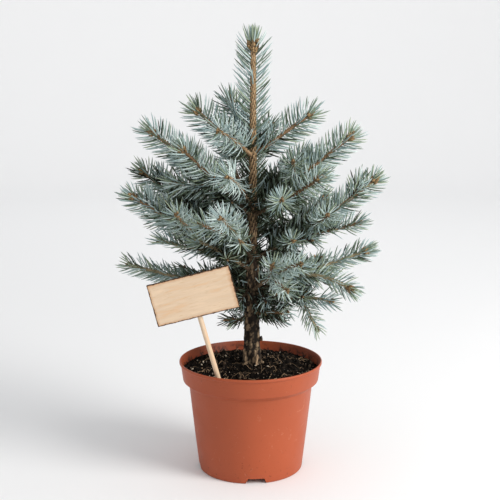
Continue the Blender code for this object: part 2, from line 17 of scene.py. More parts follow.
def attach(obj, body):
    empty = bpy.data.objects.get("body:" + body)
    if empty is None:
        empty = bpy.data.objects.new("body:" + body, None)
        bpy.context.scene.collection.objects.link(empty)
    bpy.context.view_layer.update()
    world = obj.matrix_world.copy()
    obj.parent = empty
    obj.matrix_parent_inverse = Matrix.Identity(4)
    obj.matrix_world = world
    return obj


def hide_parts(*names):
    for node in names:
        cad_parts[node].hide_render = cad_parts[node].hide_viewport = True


bl_info = {
    "name": "Potted blue spruce",
    "version": (1, 0, 0),
    "blender": (4, 5, 0),
    "location": "3D View > Sidebar > Spruce",
    "description": "Dresses a young blue spruce in its nursery pot",
    "category": "Object",
}

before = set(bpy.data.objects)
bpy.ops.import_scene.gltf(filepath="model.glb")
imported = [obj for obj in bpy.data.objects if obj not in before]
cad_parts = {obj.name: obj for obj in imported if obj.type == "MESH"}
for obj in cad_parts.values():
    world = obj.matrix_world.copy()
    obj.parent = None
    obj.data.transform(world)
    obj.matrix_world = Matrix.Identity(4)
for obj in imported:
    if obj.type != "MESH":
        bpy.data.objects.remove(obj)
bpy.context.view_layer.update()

SEED = 7
GOLDEN_ANGLE = math.radians(137.508)

# The pot, as in the part's source.
POT_HEIGHT = 0.148
POT_SIDES = 144
COLLAR_MIDDLE = ((0.0893, 0.1226), (0.0929, 0.1430))  # the middle of its wall, as radius and height
COLLAR_FOOT_RADIUS = 0.0902
COLLAR_FOOT_HEIGHT = 0.122
BODY_TOP_RADIUS = 0.0822
BODY_TOP_HEIGHT = 0.116
FOOT_RADIUS = 0.0697
WALL = 0.0018
BASE_RECESS = 0.009
BASE_THICKNESS = 0.002
NOTCHES = 4
NOTCH_TOP_WIDTH = 0.021
NOTCH_FOOT_WIDTH = 0.028
NOTCH_HEIGHT = 0.0072
NOTCH_DEPTH = 0.020
NOTCH_FIRST_ANGLE = -84
DRAIN_HOLES = 6
DRAIN_RADIUS = 0.006
DRAIN_CIRCLE = 0.046
DRAIN_SIDES = 24
INNER_GAP = 0.0006  # how far its steps inside stand above those outside

# The compost's surface: its height at each distance from the middle.
SOIL_SURFACE = ((0.0, 0.143), (0.024, 0.143), (0.045, 0.1395), (0.070, 0.137), (0.088, 0.1355))
SOIL_EDGE = 0.0895
SOIL_CELLS = 136
# The colour that darkens the pot's inner wall: compost smears in patches, and painted shade over all of it.
SMEAR_AND_SHADE_COLOUR = (0.022, 0.012, 0.008)
# Its lumps, big and small: how many to a metre, and their share of the settings' height. Near the
# wall the big ones keep a share of theirs.
BIG_LUMPS = (95, 0.75)
SMALL_LUMPS = (420, 0.35)
LUMPS_AT_WALL = 0.3
LUMP_FADE = 0.01
# Its crumbs: how many kinds, the sizes of the first and of the others, and how far they are
# flattened and raised.
CRUMB_KINDS = 4
CRUMB_SIZES = ((0.0022, 0.0062), (0.0009, 0.0034))
CRUMB_SQUASH = (0.40, 1.0)
CRUMB_RISE = (-0.1, 0.35)
CRUMB_TONES = (0.25, 1.3, 4.2)  # how light dark, middling and dry crumbs are
CRUMB_DEAL = (0.54, 0.32, 0.14)
CRUMB_FORM = 2.6  # how finely their form changes
CRUMB_ROUGHNESS = 0.35
# Its chips: how many kinds, the least size and what chance adds, and how narrow and flat they are.
CHIP_KINDS = 3
CHIP_SIZES = (0.0009, 0.0042)
CHIP_WIDTH = (0.35, 0.8)
CHIP_FLATNESS = (0.2, 0.45)
CHIP_RISE = 0.15
CHIP_ROUGHNESS = 0.6
CHIP_TONES = (1.0, 0.5)
# Its fibres: their length, radius, points, sides, bend in radians to a metre, and arch.
FIBRE_LENGTH = (0.005, 0.026)
FIBRE_RADIUS = (0.00016, 0.00042)
FIBRE_STEPS = 8
FIBRE_SIDES = 5
FIBRE_BEND = 26
FIBRE_JITTER = 0.10
FIBRE_ARCH = 0.0016
FIBRE_ARCHES = (0.5, 1.0)
FIBRE_TAPER = 0.5
FIBRE_MARGIN = 0.003
FIBRE_TONES = (1.0, 0.4)
# How near the wall and the trunk the chips and the fibres lie.
CHIP_REACH = (0.004, 0.016)
FIBRE_REACH = (0.008, 0.017)
# A torn root that leans on the trunk's foot: its ends and its radii there.
TORN_ROOT = ((0.0092, -0.0140, 0.1580), (0.0078, -0.0165, 0.1405), 0.0017, 0.0006)
TORN_STEPS = 8
TORN_SIDES = 7
TORN_BEND = 0.0006

# The trunk: its radius at each height. Above the top whorl it is the leader's stem.
TRUNK_FOOT = 0.1433
TRUNK_TOP = 0.5645
TRUNK_X = ((TRUNK_FOOT, 0.0015), (0.36, 0.0025), (0.43, 0.0028), (TRUNK_TOP, 0.0034))
TRUNK_RADII = (
    (TRUNK_FOOT, 0.0134),
    (0.148, 0.0120),
    (0.158, 0.0112),
    (0.173, 0.0108),
    (0.200, 0.0101),
    (0.225, 0.0094),
    (0.250, 0.0085),
    (0.275, 0.0076),
    (0.300, 0.0058),
    (0.330, 0.0051),
    (0.345, 0.0055),
    (0.365, 0.0043),
    (0.405, 0.0040),
    (0.419, 0.0043),
    (0.428, 0.0033),
    (0.500, 0.0028),
    (0.5515, 0.0023),
    (0.5600, 0.0020),
    (TRUNK_TOP, 0.0012),
)
FLARE_LOBES = 5
FLARE_DEPTH = 0.18
FLARE_TOP = 0.165

# How far the bark stands out from the bare trunk at some heights.
BARK_THICKNESS = ((0.20, 0.0), (0.30, 0.0008), (0.42, 0.0011), (0.54, 0.0009))
TRUNK_MIDDLE_X = TRUNK_X[1][1]
TRUNK_SUNK = 0.004  # how far its bark goes into the compost

# The bark's mesh: how many sides each tube has, and how long its steps are.
TRUNK_GRID = (52, 0.0013)
BOUGH_GRID = (16, 0.0012)
STUB_GRID = (10, 0.0009)
TRUNK_STEPS = 160
# The bark's form: scales and flakes to a metre, how much the scales are drawn out upwards, and
# the ridge below each needle's foot on young bark.
SCALES = 290
SCALE_STRETCH = 0.42
SCALE_WANDER = (160, 0.45)  # how finely and how far their edges wander
FLAKES = 420
RIDGE_LENGTH = 0.0085
RIDGE_WIDTH = 0.00088
YOUNG_RELIEF = 0.0006
SCALE_EDGE = 3.4  # how steeply a scale rises from its crack
SCALE_HEIGHT = (0.42, 0.50)  # the least height of a scale, and what chance adds
FLAKE_HEIGHT = 0.20
# The relief that lies at the trunk's own radius, on old and young bark, and at a bough's.
OLD_LEVEL = 0.35
YOUNG_LEVEL = 0.3
BOUGH_LEVEL = 0.4
# How much finer the scales are on boughs and on stubs.
BOUGH_FINER = 1.5
STUB_FINER = 1.7
BOUGH_SWELLING = (0.30, 0.004)  # how much a bough swells at the trunk, and how soon that ends
SWELLING = (90, 0.0008)  # how finely and how far the old trunk swells
OLD_BARK_TOP = 0.255
YOUNG_BARK_FROM = 0.375
# Stubs of old twigs low on the trunk: height, compass angle, reach and radius of the first, and
# the ranges of the others.
FIRST_STUB = (0.1760, -12, 0.0034, 0.0034)
MORE_STUBS = 9
STUB_HEIGHT = (0.165, 0.235)
STUB_REACH = (0.002, 0.004)
STUB_RADIUS = (0.0012, 0.0022)
STUB_RISE = (0, 35)
STUB_ROOT = 0.002  # how deep in the bark a stub starts
STUB_TAPER = (1.25, 0.35)  # how wide its foot is, as a share of its radius, and how much it loses
STUB_RELIEF = (0.8, 0.5)  # its width in a crack, and what a scale adds

# Limbs and stems. A bough that reaches far enough and leaves the trunk low enough has a bare
# first share.
BOUGH_RADIUS = 0.0029
BOUGH_POINTS = 8
BARE_SHARE = 0.22
BARE_OVERLAP = 1.04
BARE_FROM_REACH = 0.07
BARE_BELOW = 0.40
STEM_RADIUS = 0.0026
STEM_POINTS = 16
STEM_TIP_RADIUS = 0.0018
TWIG_RADIUS = 0.0019
TWIG_SIDES = 7
TWIG_SAG = 0.03  # how far a twig's middle hangs below its chord, as a share of its length

# The label.
PLATE_SIZE = (0.106, 0.056, 0.003)
PLATE_TURN = -1.2  # degrees that the plate is turned on the stick, anticlockwise from the front
PLATE_UP_STICK = 0.146
LABEL_LEAN = 15.5
LABEL_FORWARD_LEAN = 3.0
STICK_FOOT = Vector((-0.0325, -0.0672, 0.112))
STICK_RADIUS = 0.0032
STICK_LENGTH = 0.152
STICK_POINT_LENGTH = 0.016
STICK_POINT_RADIUS = 0.0010
LABEL_GAP = 0.0003
# The dowel's softened top: how far below its end, and its radius there as a share of the rest's.
STICK_TOP = ((0.0005, 0.98), (0.0, 0.85))
# The plate's browned edges: how wide, and how far their line wanders along the sides and the right end.
TOAST_WIDTH = 0.008
TOAST_COLOUR = (0.42, 0.185, 0.062)
BURN_WIDTH = 0.002
EDGE_WANDER = 0.0040
END_WANDER = 0.0060
# The mesh of the plate and the stick.
PLATE_CUTS = (55, 27)
PLATE_WEAR = 0.00035  # how far its edges are worn down
PLATE_RAGGED = 210  # how finely they are
STICK_RINGS = 24
STICK_SIDES = 32

# The stage, in metres: the floor's radius, the wall's curve and top, the lights with their place,
# target, size and tint, and the camera.
FLOOR_RADIUS = 3.0
WALL_CURVE = 1.2
WALL_TOP = 2.2
WALL_STEPS = 13
WALL_SIDES = 96
KEY_LIGHT = ((1.90, -1.10, 1.25), (0, 0, 0.28), 1.3, (1.0, 0.985, 0.96))
BACK_LIGHT = ((0.0, 2.0, 2.4), (0, 3.8, 0.4), 2.2, (1.0, 1.0, 1.0))
SKY_COLOUR = (0.97, 0.98, 1.0)
CAMERA_PLACE = (-0.0008, -1.340, 0.540)
CAMERA_TILT = 79.68
CAMERA_LENS = 74.8

# Each bough: name, height of its foot on the trunk, compass angle, how far out and how high
# its tip comes, how far its middle arches up, and its twigs. Each twig: the share of the bough
# where it leaves, compass angle, rise and length. None stands for a pair by the seeded rule.
BOUGHS = (
    ("top_right", 0.420, 18, 0.080, 0.472, 0.000, ()),
    ("top_front_left", 0.418, -123, 0.078, 0.456, 0.003, ()),
    ("top_left", 0.412, 165, 0.077, 0.478, 0.000, ()),
    ("top_back_left", 0.421, 120, 0.063, 0.489, 0.000, ()),
    ("top_back", 0.411, 68, 0.060, 0.455, 0.000, ()),
    (
        "upper_right", 0.350, 13, 0.134, 0.444, -0.003,
        ((0.42, -94, 24, 0.078), (0.55, 75, 18, 0.055)),
    ),
    ("upper_front_right", 0.341, -44, 0.115, 0.400, -0.002, ((0.35, -86, 12, 0.085),)),
    ("upper_front_left", 0.349, -107, 0.105, 0.403, 0.008, ()),
    ("upper_left_front", 0.340, -146, 0.107, 0.434, 0.000, ((0.50, 168, 0, 0.060),)),
    ("upper_left", 0.351, 172, 0.136, 0.451, 0.000, ((0.52, 122, 18, 0.055),)),
    ("upper_back_right", 0.339, 48, 0.104, 0.415, 0.000, None),
    ("upper_back_left", 0.342, 110, 0.100, 0.418, 0.000, None),
    (
        "middle_right", 0.283, 7, 0.163, 0.387, -0.006,
        ((0.47, -75, 20, 0.075), (0.36, -19, 14, 0.088), (0.25, -80, 12, 0.066), (0.56, 62, 15, 0.058)),
    ),
    (
        "middle_left", 0.276, -173, 0.157, 0.370, -0.002,
        ((0.42, -110, 27, 0.092), (0.60, 140, 8, 0.050)),
    ),
    ("middle_left_back", 0.285, 158, 0.162, 0.394, 0.000, ((0.50, 112, 10, 0.058),)),
    (
        "middle_front_left", 0.284, -105, 0.144, 0.359, 0.004,
        ((0.50, -141, 21, 0.062), (0.35, -92, 12, 0.050)),
    ),
    ("middle_low_left", 0.267, -135, 0.099, 0.321, 0.003, ((0.62, 162, 6, 0.080),)),
    ("middle_back_right", 0.274, 45, 0.142, 0.352, 0.000, None),
    ("middle_back", 0.284, 86, 0.139, 0.345, 0.002, None),
    ("middle_back_left", 0.275, 126, 0.144, 0.350, 0.000, None),
    ("lower_right", 0.241, 7, 0.155, 0.292, 0.000, ((0.50, 60, 20, 0.048),)),
    ("lower_right_front", 0.232, -23, 0.137, 0.254, 0.025, ()),
    (
        "lower_front_right", 0.240, -61, 0.122, 0.298, 0.006,
        ((0.35, -85, 29, 0.055), (0.42, -68, -10, 0.050)),
    ),
    ("lower_low_right", 0.221, -16, 0.107, 0.234, 0.008, ((0.62, -5, -63, 0.048),)),
    ("lower_low_front", 0.209, -46, 0.056, 0.220, 0.003, ()),
    ("lower_left", 0.240, 177, 0.164, 0.275, -0.002, ((0.52, 142, 2, 0.056),)),
    ("lower_low_left", 0.199, -170, 0.036, 0.203, 0.002, ()),
    ("lower_back_right", 0.230, 46, 0.144, 0.272, 0.004, None),
    ("lower_back", 0.239, 93, 0.138, 0.262, 0.006, None),
    ("lower_back_left", 0.231, 136, 0.144, 0.264, 0.002, None),
)
# The pair by the rule: where the twigs leave, how far they swing from the bough, their rise in
# degrees, and their length as a share of the bough's.
PAIR_SHARES = (0.42, 0.60)
PAIR_SWING = (38, 58)
PAIR_RISE = (6, 20)
PAIR_LENGTH = (0.36, 0.46)


# ---------------------------------------------------------------- settings


def colour(name, default, description):
    """A colour that can be set."""
    return FloatVectorProperty(
        name=name, description=description, subtype="COLOR", size=3, min=0, max=1, default=default
    )


def length(name, default, description):
    """A length in metres that can be set."""
    return FloatProperty(
        name=name, description=description, unit="LENGTH", precision=4, min=0, default=default
    )


def amount(name, default, description, least=0, most=10000):
    """A number without a unit that can be set."""
    return FloatProperty(name=name, description=description, min=least, max=most, default=default)


def whole(name, default, description):
    """A whole number that can be set."""
    return IntProperty(name=name, description=description, min=0, default=default)


class PotSettings(bpy.types.PropertyGroup):
    plastic: colour("Plastic", (0.37, 0.076, 0.027), "Colour of the pot's plastic")
    dust: colour("Dust", (0.50, 0.22, 0.13), "Colour of the dried splashes on it")
    roughness: amount("Roughness", 0.46, "How matt the plastic is", most=1)


class CompostSettings(bpy.types.PropertyGroup):
    peat: colour("Peat", (0.0075, 0.0055, 0.0040), "Colour of the damp compost")
    crumb: colour("Crumbs", (0.018, 0.012, 0.008), "Colour of the drier crumbs")
    straw: colour("Fibres", (0.44, 0.29, 0.17), "Colour of the roots and fibres in it")
    chip: colour("Chips", (0.62, 0.52, 0.40), "Colour of the pale chips")
    lump: length("Lumps", 0.0052, "Height of the lumps in the surface")
    crumbs: whole("Number of crumbs", 2000, "How many crumbs lie on it")
    chips: whole("Number of chips", 180, "How many pale chips lie on it")
    fibres: whole("Number of fibres", 135, "How many fibres lie on it")


class BarkSettings(bpy.types.PropertyGroup):
    ridge: colour("Old ridges", (0.29, 0.200, 0.120), "Colour of the old bark's scales")
    # The furrow colours also paint shade into the bark's cracks and grooves.
    furrow: colour("Old furrows", (0.017, 0.011, 0.007), "Colour of the old bark's cracks")
    young_ridge: colour("Young ridges", (0.43, 0.282, 0.152), "Colour of the young bark's ridges")
    young_furrow: colour("Young furrows", (0.050, 0.026, 0.013), "Colour of the young bark's grooves")
    olive: colour("Olive twigs", (0.29, 0.235, 0.140), "Colour of this year's palest twigs")
    tan: colour("Tan twigs", (0.320, 0.200, 0.108), "Colour of this year's redder twigs")
    brown: colour("Brown twigs", (0.170, 0.102, 0.052), "Colour of last year's twigs")
    dark: colour("Dark twigs", (0.052, 0.034, 0.021), "Colour of the oldest twigs")
    bud: colour("Buds", (0.36, 0.235, 0.115), "Colour of the bud scales")
    relief: length("Relief", 0.0020, "How far the old scales stand out of the cracks")


class NeedleSettings(bpy.types.PropertyGroup):
    pale: colour("Pale", (0.635, 0.735, 0.700), "The most powdery needles")
    silver: colour("Silver", (0.452, 0.563, 0.543), "Silver-blue needles")
    blue: colour("Blue", (0.285, 0.385, 0.386), "Blue needles")
    green: colour("Green", (0.183, 0.245, 0.188), "Blue-green older needles")
    # Deep and shade are painted shade: they are dealt on the crown's shaded sides and inside it.
    deep: colour("Deep", (0.085, 0.112, 0.070), "Deep green needles on the shaded sides")
    shade: colour("Shade", (0.022, 0.026, 0.014), "Deep green needles inside the crown")
    fresh: colour("Fresh", (0.34, 0.41, 0.285), "Olive-green needles round the buds")
    size: length("Length", 0.0270, "Length of a full needle half-way up the crown")
    width: length("Width", 0.00135, "Width of a full needle half-way up the crown")
    per_metre: amount("Per metre", 1650, "Needles on a metre of stem", least=10)
    spread: amount("Spread", 64, "Angle from the stem, in degrees", least=10, most=90)


class LabelSettings(bpy.types.PropertyGroup):
    wood: colour("Wood", (0.68, 0.515, 0.36), "Colour of the pale plywood")
    grain: colour("Grain", (0.62, 0.40, 0.235), "Colour of the grain lines")
    scorch: colour("Scorch", (0.050, 0.022, 0.010), "Colour of the burnt edges")


class StageSettings(bpy.types.PropertyGroup):
    floor: colour("Floor", (0.86, 0.86, 0.86), "Colour of the floor and backdrop")
    sky: amount("Sky", 0.72, "Strength of the even light")
    key: amount("Key", 60, "Power of the right-hand light, in W")
    back: amount("Back", 14, "Power of the backdrop's light, in W")


SETTINGS = {
    "spruce_pot": PotSettings,
    "spruce_compost": CompostSettings,
    "spruce_bark": BarkSettings,
    "spruce_needles": NeedleSettings,
    "spruce_label": LabelSettings,
    "spruce_stage": StageSettings,
}


# ---------------------------------------------------------------- materials


def plain(name, base, roughness, specular=0.5):
    """A finish of one plain colour, for small things that are dealt their colours."""
    made = bpy.data.materials.new(name)
    made.use_nodes = True
    shader = made.node_tree.nodes["Principled BSDF"]
    shader.inputs["Base Color"].default_value = (*base, 1)
    shader.inputs["Roughness"].default_value = roughness
    shader.inputs["Specular IOR Level"].default_value = specular
    made.diffuse_color = (*base, 1)
    return made


def toned(name, base, factors, roughness, specular):
    """Plain finishes in one colour, each lighter or darker by its factor."""
    return [plain(f"{name} {k}", shaded(base, by), roughness, specular) for k, by in enumerate(factors)]


class Nodes:
    """Short ways to make the nodes of one material."""

    def __init__(self, name, roughness, specular=0.5):
        self.material = plain(name, (0.5, 0.5, 0.5), roughness, specular)
        self.tree = self.material.node_tree
        self.shader = self.tree.nodes["Principled BSDF"]
        self.coords = self.add("ShaderNodeTexCoord").outputs["Object"]

    def add(self, kind, **values):
        """A new node with some of its settings."""
        node = self.tree.nodes.new(kind)
        for key, value in values.items():
            setattr(node, key, value)
        return node

    def link(self, source, socket):
        """Joins an output to an input."""
        self.tree.links.new(source, socket)

    def placed(self, turn=(0, 0, 0), scale=(1, 1, 1), middle=(0, 0, 0)):
        """Object coordinates from a middle point, turned and stretched."""
        node = self.add("ShaderNodeMapping", vector_type="TEXTURE")
        node.inputs["Location"].default_value = middle
        node.inputs["Rotation"].default_value = turn
        node.inputs["Scale"].default_value = scale
        self.link(self.coords, node.inputs["Vector"])
        return node.outputs["Vector"]

    def noise(self, scale, detail=4, roughness=0.55, vector=None, distortion=0):
        """Noise of so many cells to a metre, from 0 to 1."""
        node = self.add("ShaderNodeTexNoise")
        node.inputs["Scale"].default_value = scale
        node.inputs["Detail"].default_value = detail
        node.inputs["Roughness"].default_value = roughness
        node.inputs["Distortion"].default_value = distortion
        self.link(vector or self.coords, node.inputs["Vector"])
        return node.outputs["Fac"]

    def attribute(self, name):
        """A number that the mesh keeps at its corners."""
        return self.add("ShaderNodeAttribute", attribute_name=name).outputs["Fac"]

    def ramp(self, fac, *stops):
        """A colour by a number, between stops of (place, grey level or colour)."""
        node = self.add("ShaderNodeValToRGB")
        elements = node.color_ramp.elements
        while len(elements) < len(stops):
            elements.new(0.5)
        for element, (place, value) in zip(elements, stops):
            element.position = place
            element.color = (*value, 1) if hasattr(value, "__len__") else (value, value, value, 1)
        self.link(fac, node.inputs["Fac"])
        return node.outputs["Color"]

    def mix(self, fac, first, second, blend="MIX"):
        """Two colours mixed by a factor; each of the three may be a node's output."""
        node = self.add("ShaderNodeMix", data_type="RGBA", blend_type=blend)
        for value, socket in ((fac, node.inputs[0]), (first, node.inputs[6]), (second, node.inputs[7])):
            if isinstance(value, bpy.types.NodeSocket):
                self.link(value, socket)
            else:
                socket.default_value = (*value, 1) if hasattr(value, "__len__") else value
        return node.outputs[2]

    def maths(self, operation, *values):
        """Arithmetic on numbers and nodes' outputs."""
        node = self.add("ShaderNodeMath", operation=operation)
        for value, socket in zip(values, node.inputs):
            if isinstance(value, bpy.types.NodeSocket):
                self.link(value, socket)
            else:
                socket.default_value = value
        return node.outputs[0]

    def bump(self, height, distance, strength=1.0):
        """Gives the surface a relief of so many metres."""
        node = self.add("ShaderNodeBump")
        node.inputs["Strength"].default_value = strength
        node.inputs["Distance"].default_value = distance
        self.link(height, node.inputs["Height"])
        self.link(node.outputs["Normal"], self.shader.inputs["Normal"])

    def finish(self, base, rough=None):
        """The material, once its colour and roughness are joined to the shader."""
        self.link(base, self.shader.inputs["Base Color"])
        if rough is not None:
            self.link(rough, self.shader.inputs["Roughness"])
        return self.material


def shaded(base, by):
    """A colour made lighter or darker by a factor."""
    return tuple(min(1.0, channel * by) for channel in base)


def inner_wall(made, height):
    """1 on the inside of the collar and 0 outside it."""
    outward = made.add("ShaderNodeVectorMath", operation="LENGTH")
    made.link(made.placed(scale=(1, 1, 0)), outward.inputs[0])
    (low_radius, low), (top_radius, top) = COLLAR_MIDDLE
    slope = (top_radius - low_radius) / (top - low)
    middle = made.maths("MULTIPLY_ADD", height.outputs["Z"], slope, low_radius - low * slope)
    depth = made.maths("SUBTRACT", middle, outward.outputs["Value"])
    deep = made.ramp(made.maths("MULTIPLY_ADD", depth, 1 / WALL, 0.5), (0.48, 0.0), (0.58, 1.0))
    above = made.ramp(height.outputs["Z"], (0.128, 0.0), (0.130, 1.0))
    return made.maths("MULTIPLY", deep, above)


def smears_and_shade(made, height):
    """Where compost clings, in ragged patches thinner towards the rim, and painted shade that darkens all of
    the inner wall a little.
    """
    patches = made.ramp(made.noise(110, 6, 0.72, distortion=0.6), (0.47, 0.0), (0.58, 1.0))
    near = made.ramp(height.outputs["Z"], (0.1385, 0.95), (0.1435, 0.45), (0.1478, 0.12))
    return made.maths("MAXIMUM", made.maths("MULTIPLY", patches, near), 0.12)


def plastic_finish(settings):
    """Satin nursery plastic: faint clouds and flow marks, scuffs, splashes near the foot, and compost smears
    and painted shade on the inner wall.
    """
    made = Nodes("Pot plastic", settings.roughness, 0.31)
    base = tuple(settings.plastic)
    clouds = made.ramp(made.noise(9, 3), (0.3, shaded(base, 0.92)), (0.7, shaded(base, 1.06)))
    flow = made.noise(22, 5, vector=made.placed(scale=(1, 1, 9)))
    clouds = made.mix(made.ramp(flow, (0.55, 0.0), (0.8, 0.18)), clouds, shaded(base, 1.2))
    specks = made.ramp(made.noise(300, 2), (0.66, 0.0), (0.71, 1.0))
    height = made.add("ShaderNodeSeparateXYZ")
    made.link(made.coords, height.inputs[0])
    low = made.ramp(height.outputs["Z"], (0.0, 0.85), (0.045, 0.14))
    inside = made.ramp(height.outputs["Z"], (0.125, 0.12), (0.136, 0.4))
    where = made.maths("MULTIPLY", specks, made.maths("MAXIMUM", low, inside))
    dirty = made.mix(where, clouds, shaded(base, 0.28))
    scuffs = made.ramp(made.noise(60, 6, 0.7, distortion=1.5), (0.62, 0.0), (0.70, 0.5))
    worn = made.mix(scuffs, dirty, tuple(settings.dust))
    # Compost smears in patches, over painted shade on the whole inner wall.
    clinging_and_shade = made.maths("MULTIPLY", inner_wall(made, height), smears_and_shade(made, height))
    worn = made.mix(clinging_and_shade, worn, SMEAR_AND_SHADE_COLOUR)
    made.bump(made.noise(900, 3), 0.00006, 0.5)
    rough = made.ramp(made.noise(30, 5), (0.3, settings.roughness - 0.05), (0.7, settings.roughness + 0.1))
    return made.finish(worn, rough)


def peat_finish(settings):
    """Damp compost with drier patches."""
    made = Nodes("Compost", 0.95, 0.08)
    patches = made.noise(160, 8, 0.7)
    base = made.ramp(
        patches,
        (0.40, shaded(settings.peat, 0.3)),
        (0.55, tuple(settings.peat)),
        (0.72, tuple(settings.crumb)),
    )
    made.bump(made.noise(900, 6, 0.7), 0.0006, 0.9)
    return made.finish(base)


def bark_finish(settings):
    """Bark coloured by its relief, with painted shade in the cracks and painted light on the highest scales:
    grey-brown scales low down, orange-tan ridges on young wood.
    """
    made = Nodes("Bark", 0.86, 0.25)
    relief = made.attribute("relief")
    # Both ramps paint shade into the cracks and grooves and light onto the highest scales and ridges.
    old = made.ramp(
        relief,
        (0.0, shaded(settings.furrow, 0.6)),
        (0.14, shaded(settings.furrow, 1.4)),
        (0.34, shaded(settings.ridge, 0.42)),
        (0.70, shaded(settings.ridge, 0.85)),
        (1.0, shaded(settings.ridge, 1.7)),
    )
    damp = made.ramp(made.noise(120, 5, 0.65), (0.54, 0.0), (0.70, 0.40))
    old = made.mix(damp, old, shaded(settings.furrow, 1.3))
    young = made.ramp(
        relief,
        (0.12, tuple(settings.young_furrow)),
        (0.38, shaded(settings.young_ridge, 0.55)),
        (0.78, shaded(settings.young_ridge, 1.20)),
    )
    tone = made.mix(made.attribute("youth"), old, young)
    specks = made.ramp(made.noise(500, 6, 0.7), (0.35, 0.62), (0.65, 1.1))
    made.bump(made.noise(1100, 6, 0.7), 0.0005, 0.8)
    return made.finish(made.mix(1.0, tone, specks, "MULTIPLY"))


def label_turn():
    """The label's axes as a matrix, with the plate's middle."""
    middle, right, up, front = label_frame()
    turn = Matrix((right, up, front)).transposed()
    return turn @ Matrix.Rotation(math.radians(PLATE_TURN), 3, "Z"), middle


def wood_finish(name, settings, plate):
    """Pale wood with grain: along the plate's length and burnt at its edges, or along the stick."""
    made = Nodes(name, 0.62, 0.3)
    turn, middle = label_turn()
    wood, grain = tuple(settings.wood), tuple(settings.grain)
    stretch = (9, 1, 1) if plate else (1, 12, 1)
    place = made.placed(turn.to_euler(), stretch, middle)
    veins = made.noise(170, 6, 0.6, place, distortion=0.4)
    base = made.ramp(
        veins,
        (0.30, shaded(grain, 1.05)),
        (0.48, shaded(wood, 0.93)),
        (0.75, shaded(wood, 1.06)),
    )
    pores = made.ramp(made.noise(700, 3, 0.6, place), (0.30, 0.5), (0.42, 0.0))
    base = made.mix(pores, base, shaded(grain, 0.8))
    made.bump(veins, 0.00012, 0.6)
    if not plate:
        return made.finish(base)
    flat = made.add("ShaderNodeSeparateXYZ")
    made.link(made.placed(turn.to_euler(), middle=middle), flat.inputs[0])
    to_edge = []
    for axis, size in zip("XYZ", PLATE_SIZE):
        away = made.maths("ABSOLUTE", flat.outputs[axis])
        to_edge.append(made.maths("SUBTRACT", size / 2, away))
    nearest = made.maths("MINIMUM", to_edge[0], to_edge[1])
    ragged = made.maths("SUBTRACT", made.noise(170, 5, 0.7), 0.5)
    by_edge = made.maths("MULTIPLY_ADD", ragged, EDGE_WANDER, nearest)
    to_end = made.maths("SUBTRACT", PLATE_SIZE[0] / 2, flat.outputs["X"])
    by_end = made.maths("MULTIPLY_ADD", ragged, END_WANDER, to_end)
    along = made.maths("MULTIPLY", by_edge, 1 / TOAST_WIDTH)
    wide = made.ramp(along, (0.12, 0.95), (0.24, 0.40), (0.55, 0.0))
    across = made.maths("MULTIPLY", by_end, 1 / TOAST_WIDTH)
    deep = made.ramp(across, (0.0, 0.95), (0.30, 0.45), (0.8, 0.0))
    toast = made.mix(made.maths("MAXIMUM", wide, deep), base, TOAST_COLOUR)
    burnt = made.ramp(made.maths("MULTIPLY", by_edge, 1 / BURN_WIDTH), (0.52, 1.0), (0.90, 0.0))
    return made.finish(made.mix(burnt, toast, tuple(settings.scorch)))


# ---------------------------------------------------------------- objects


def linked(name, data):
    """A new object of the scene that holds a mesh, a light or a camera."""
    obj = bpy.data.objects.new(name, data)
    bpy.context.scene.collection.objects.link(obj)
    return obj


def add_piece(name, mesh, finishes, nodes=(), smooth_angle=None):
    """Links a finished mesh as a piece that rides with the pot, in place of some CAD nodes."""
    for finish in finishes:
        mesh.materials.append(finish)
    if smooth_angle is not None:
        mesh.shade_smooth()
        mesh.set_sharp_from_angle(angle=math.radians(smooth_angle))
    piece = linked(name, mesh)
    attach(piece, "root")
    if nodes:
        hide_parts(*nodes)


def mesh_of(name, bm):
    """The bmesh as a mesh whose faces point outwards."""
    bmesh.ops.recalc_face_normals(bm, faces=bm.faces[:])
    mesh = bpy.data.meshes.new(name)
    bm.to_mesh(mesh)
    bm.free()
    return mesh


def joined_mesh(name, parts):
    """One mesh from (points, triangles, material number or one for each triangle) parts."""
    points, faces, dealt, count = [], [], [], 0
    for part_points, part_faces, number in parts:
        points.append(part_points)
        faces.append(part_faces + count)
        dealt.append(np.broadcast_to(number, len(part_faces)))
        count += len(part_points)
    points, faces, dealt = np.concatenate(points), np.concatenate(faces), np.concatenate(dealt)
    mesh = bpy.data.meshes.new(name)
    mesh.vertices.add(len(points))
    mesh.vertices.foreach_set("co", points.astype(np.float32).ravel())
    mesh.loops.add(faces.size)
    mesh.loops.foreach_set("vertex_index", faces.astype(np.int32).ravel())
    mesh.polygons.add(len(faces))
    mesh.polygons.foreach_set("loop_start", np.arange(0, faces.size, 3, dtype=np.int32))
    mesh.polygons.foreach_set("material_index", dealt.astype(np.int32))
    mesh.update(calc_edges=True)
    return mesh


def arrays_of(bm):
    """(points, triangles) of a small bmesh, which is freed."""
    bmesh.ops.triangulate(bm, faces=bm.faces[:])
    bm.verts.index_update()
    points = np.array([v.co for v in bm.verts])
    faces = np.array([[v.index for v in f.verts] for f in bm.faces])
    bm.free()
    return points, faces


def copies(shape, places, turns):
    """Points and triangles of one copy of a small shape for each place and 3x3 matrix."""
    points, faces = shape
    moved = np.einsum("nij,vj->nvi", turns, points) + places[:, None, :]
    numbers = np.arange(len(places))[:, None, None] * len(points)
    return moved.reshape(-1, 3), (faces[None] + numbers).reshape(-1, 3)


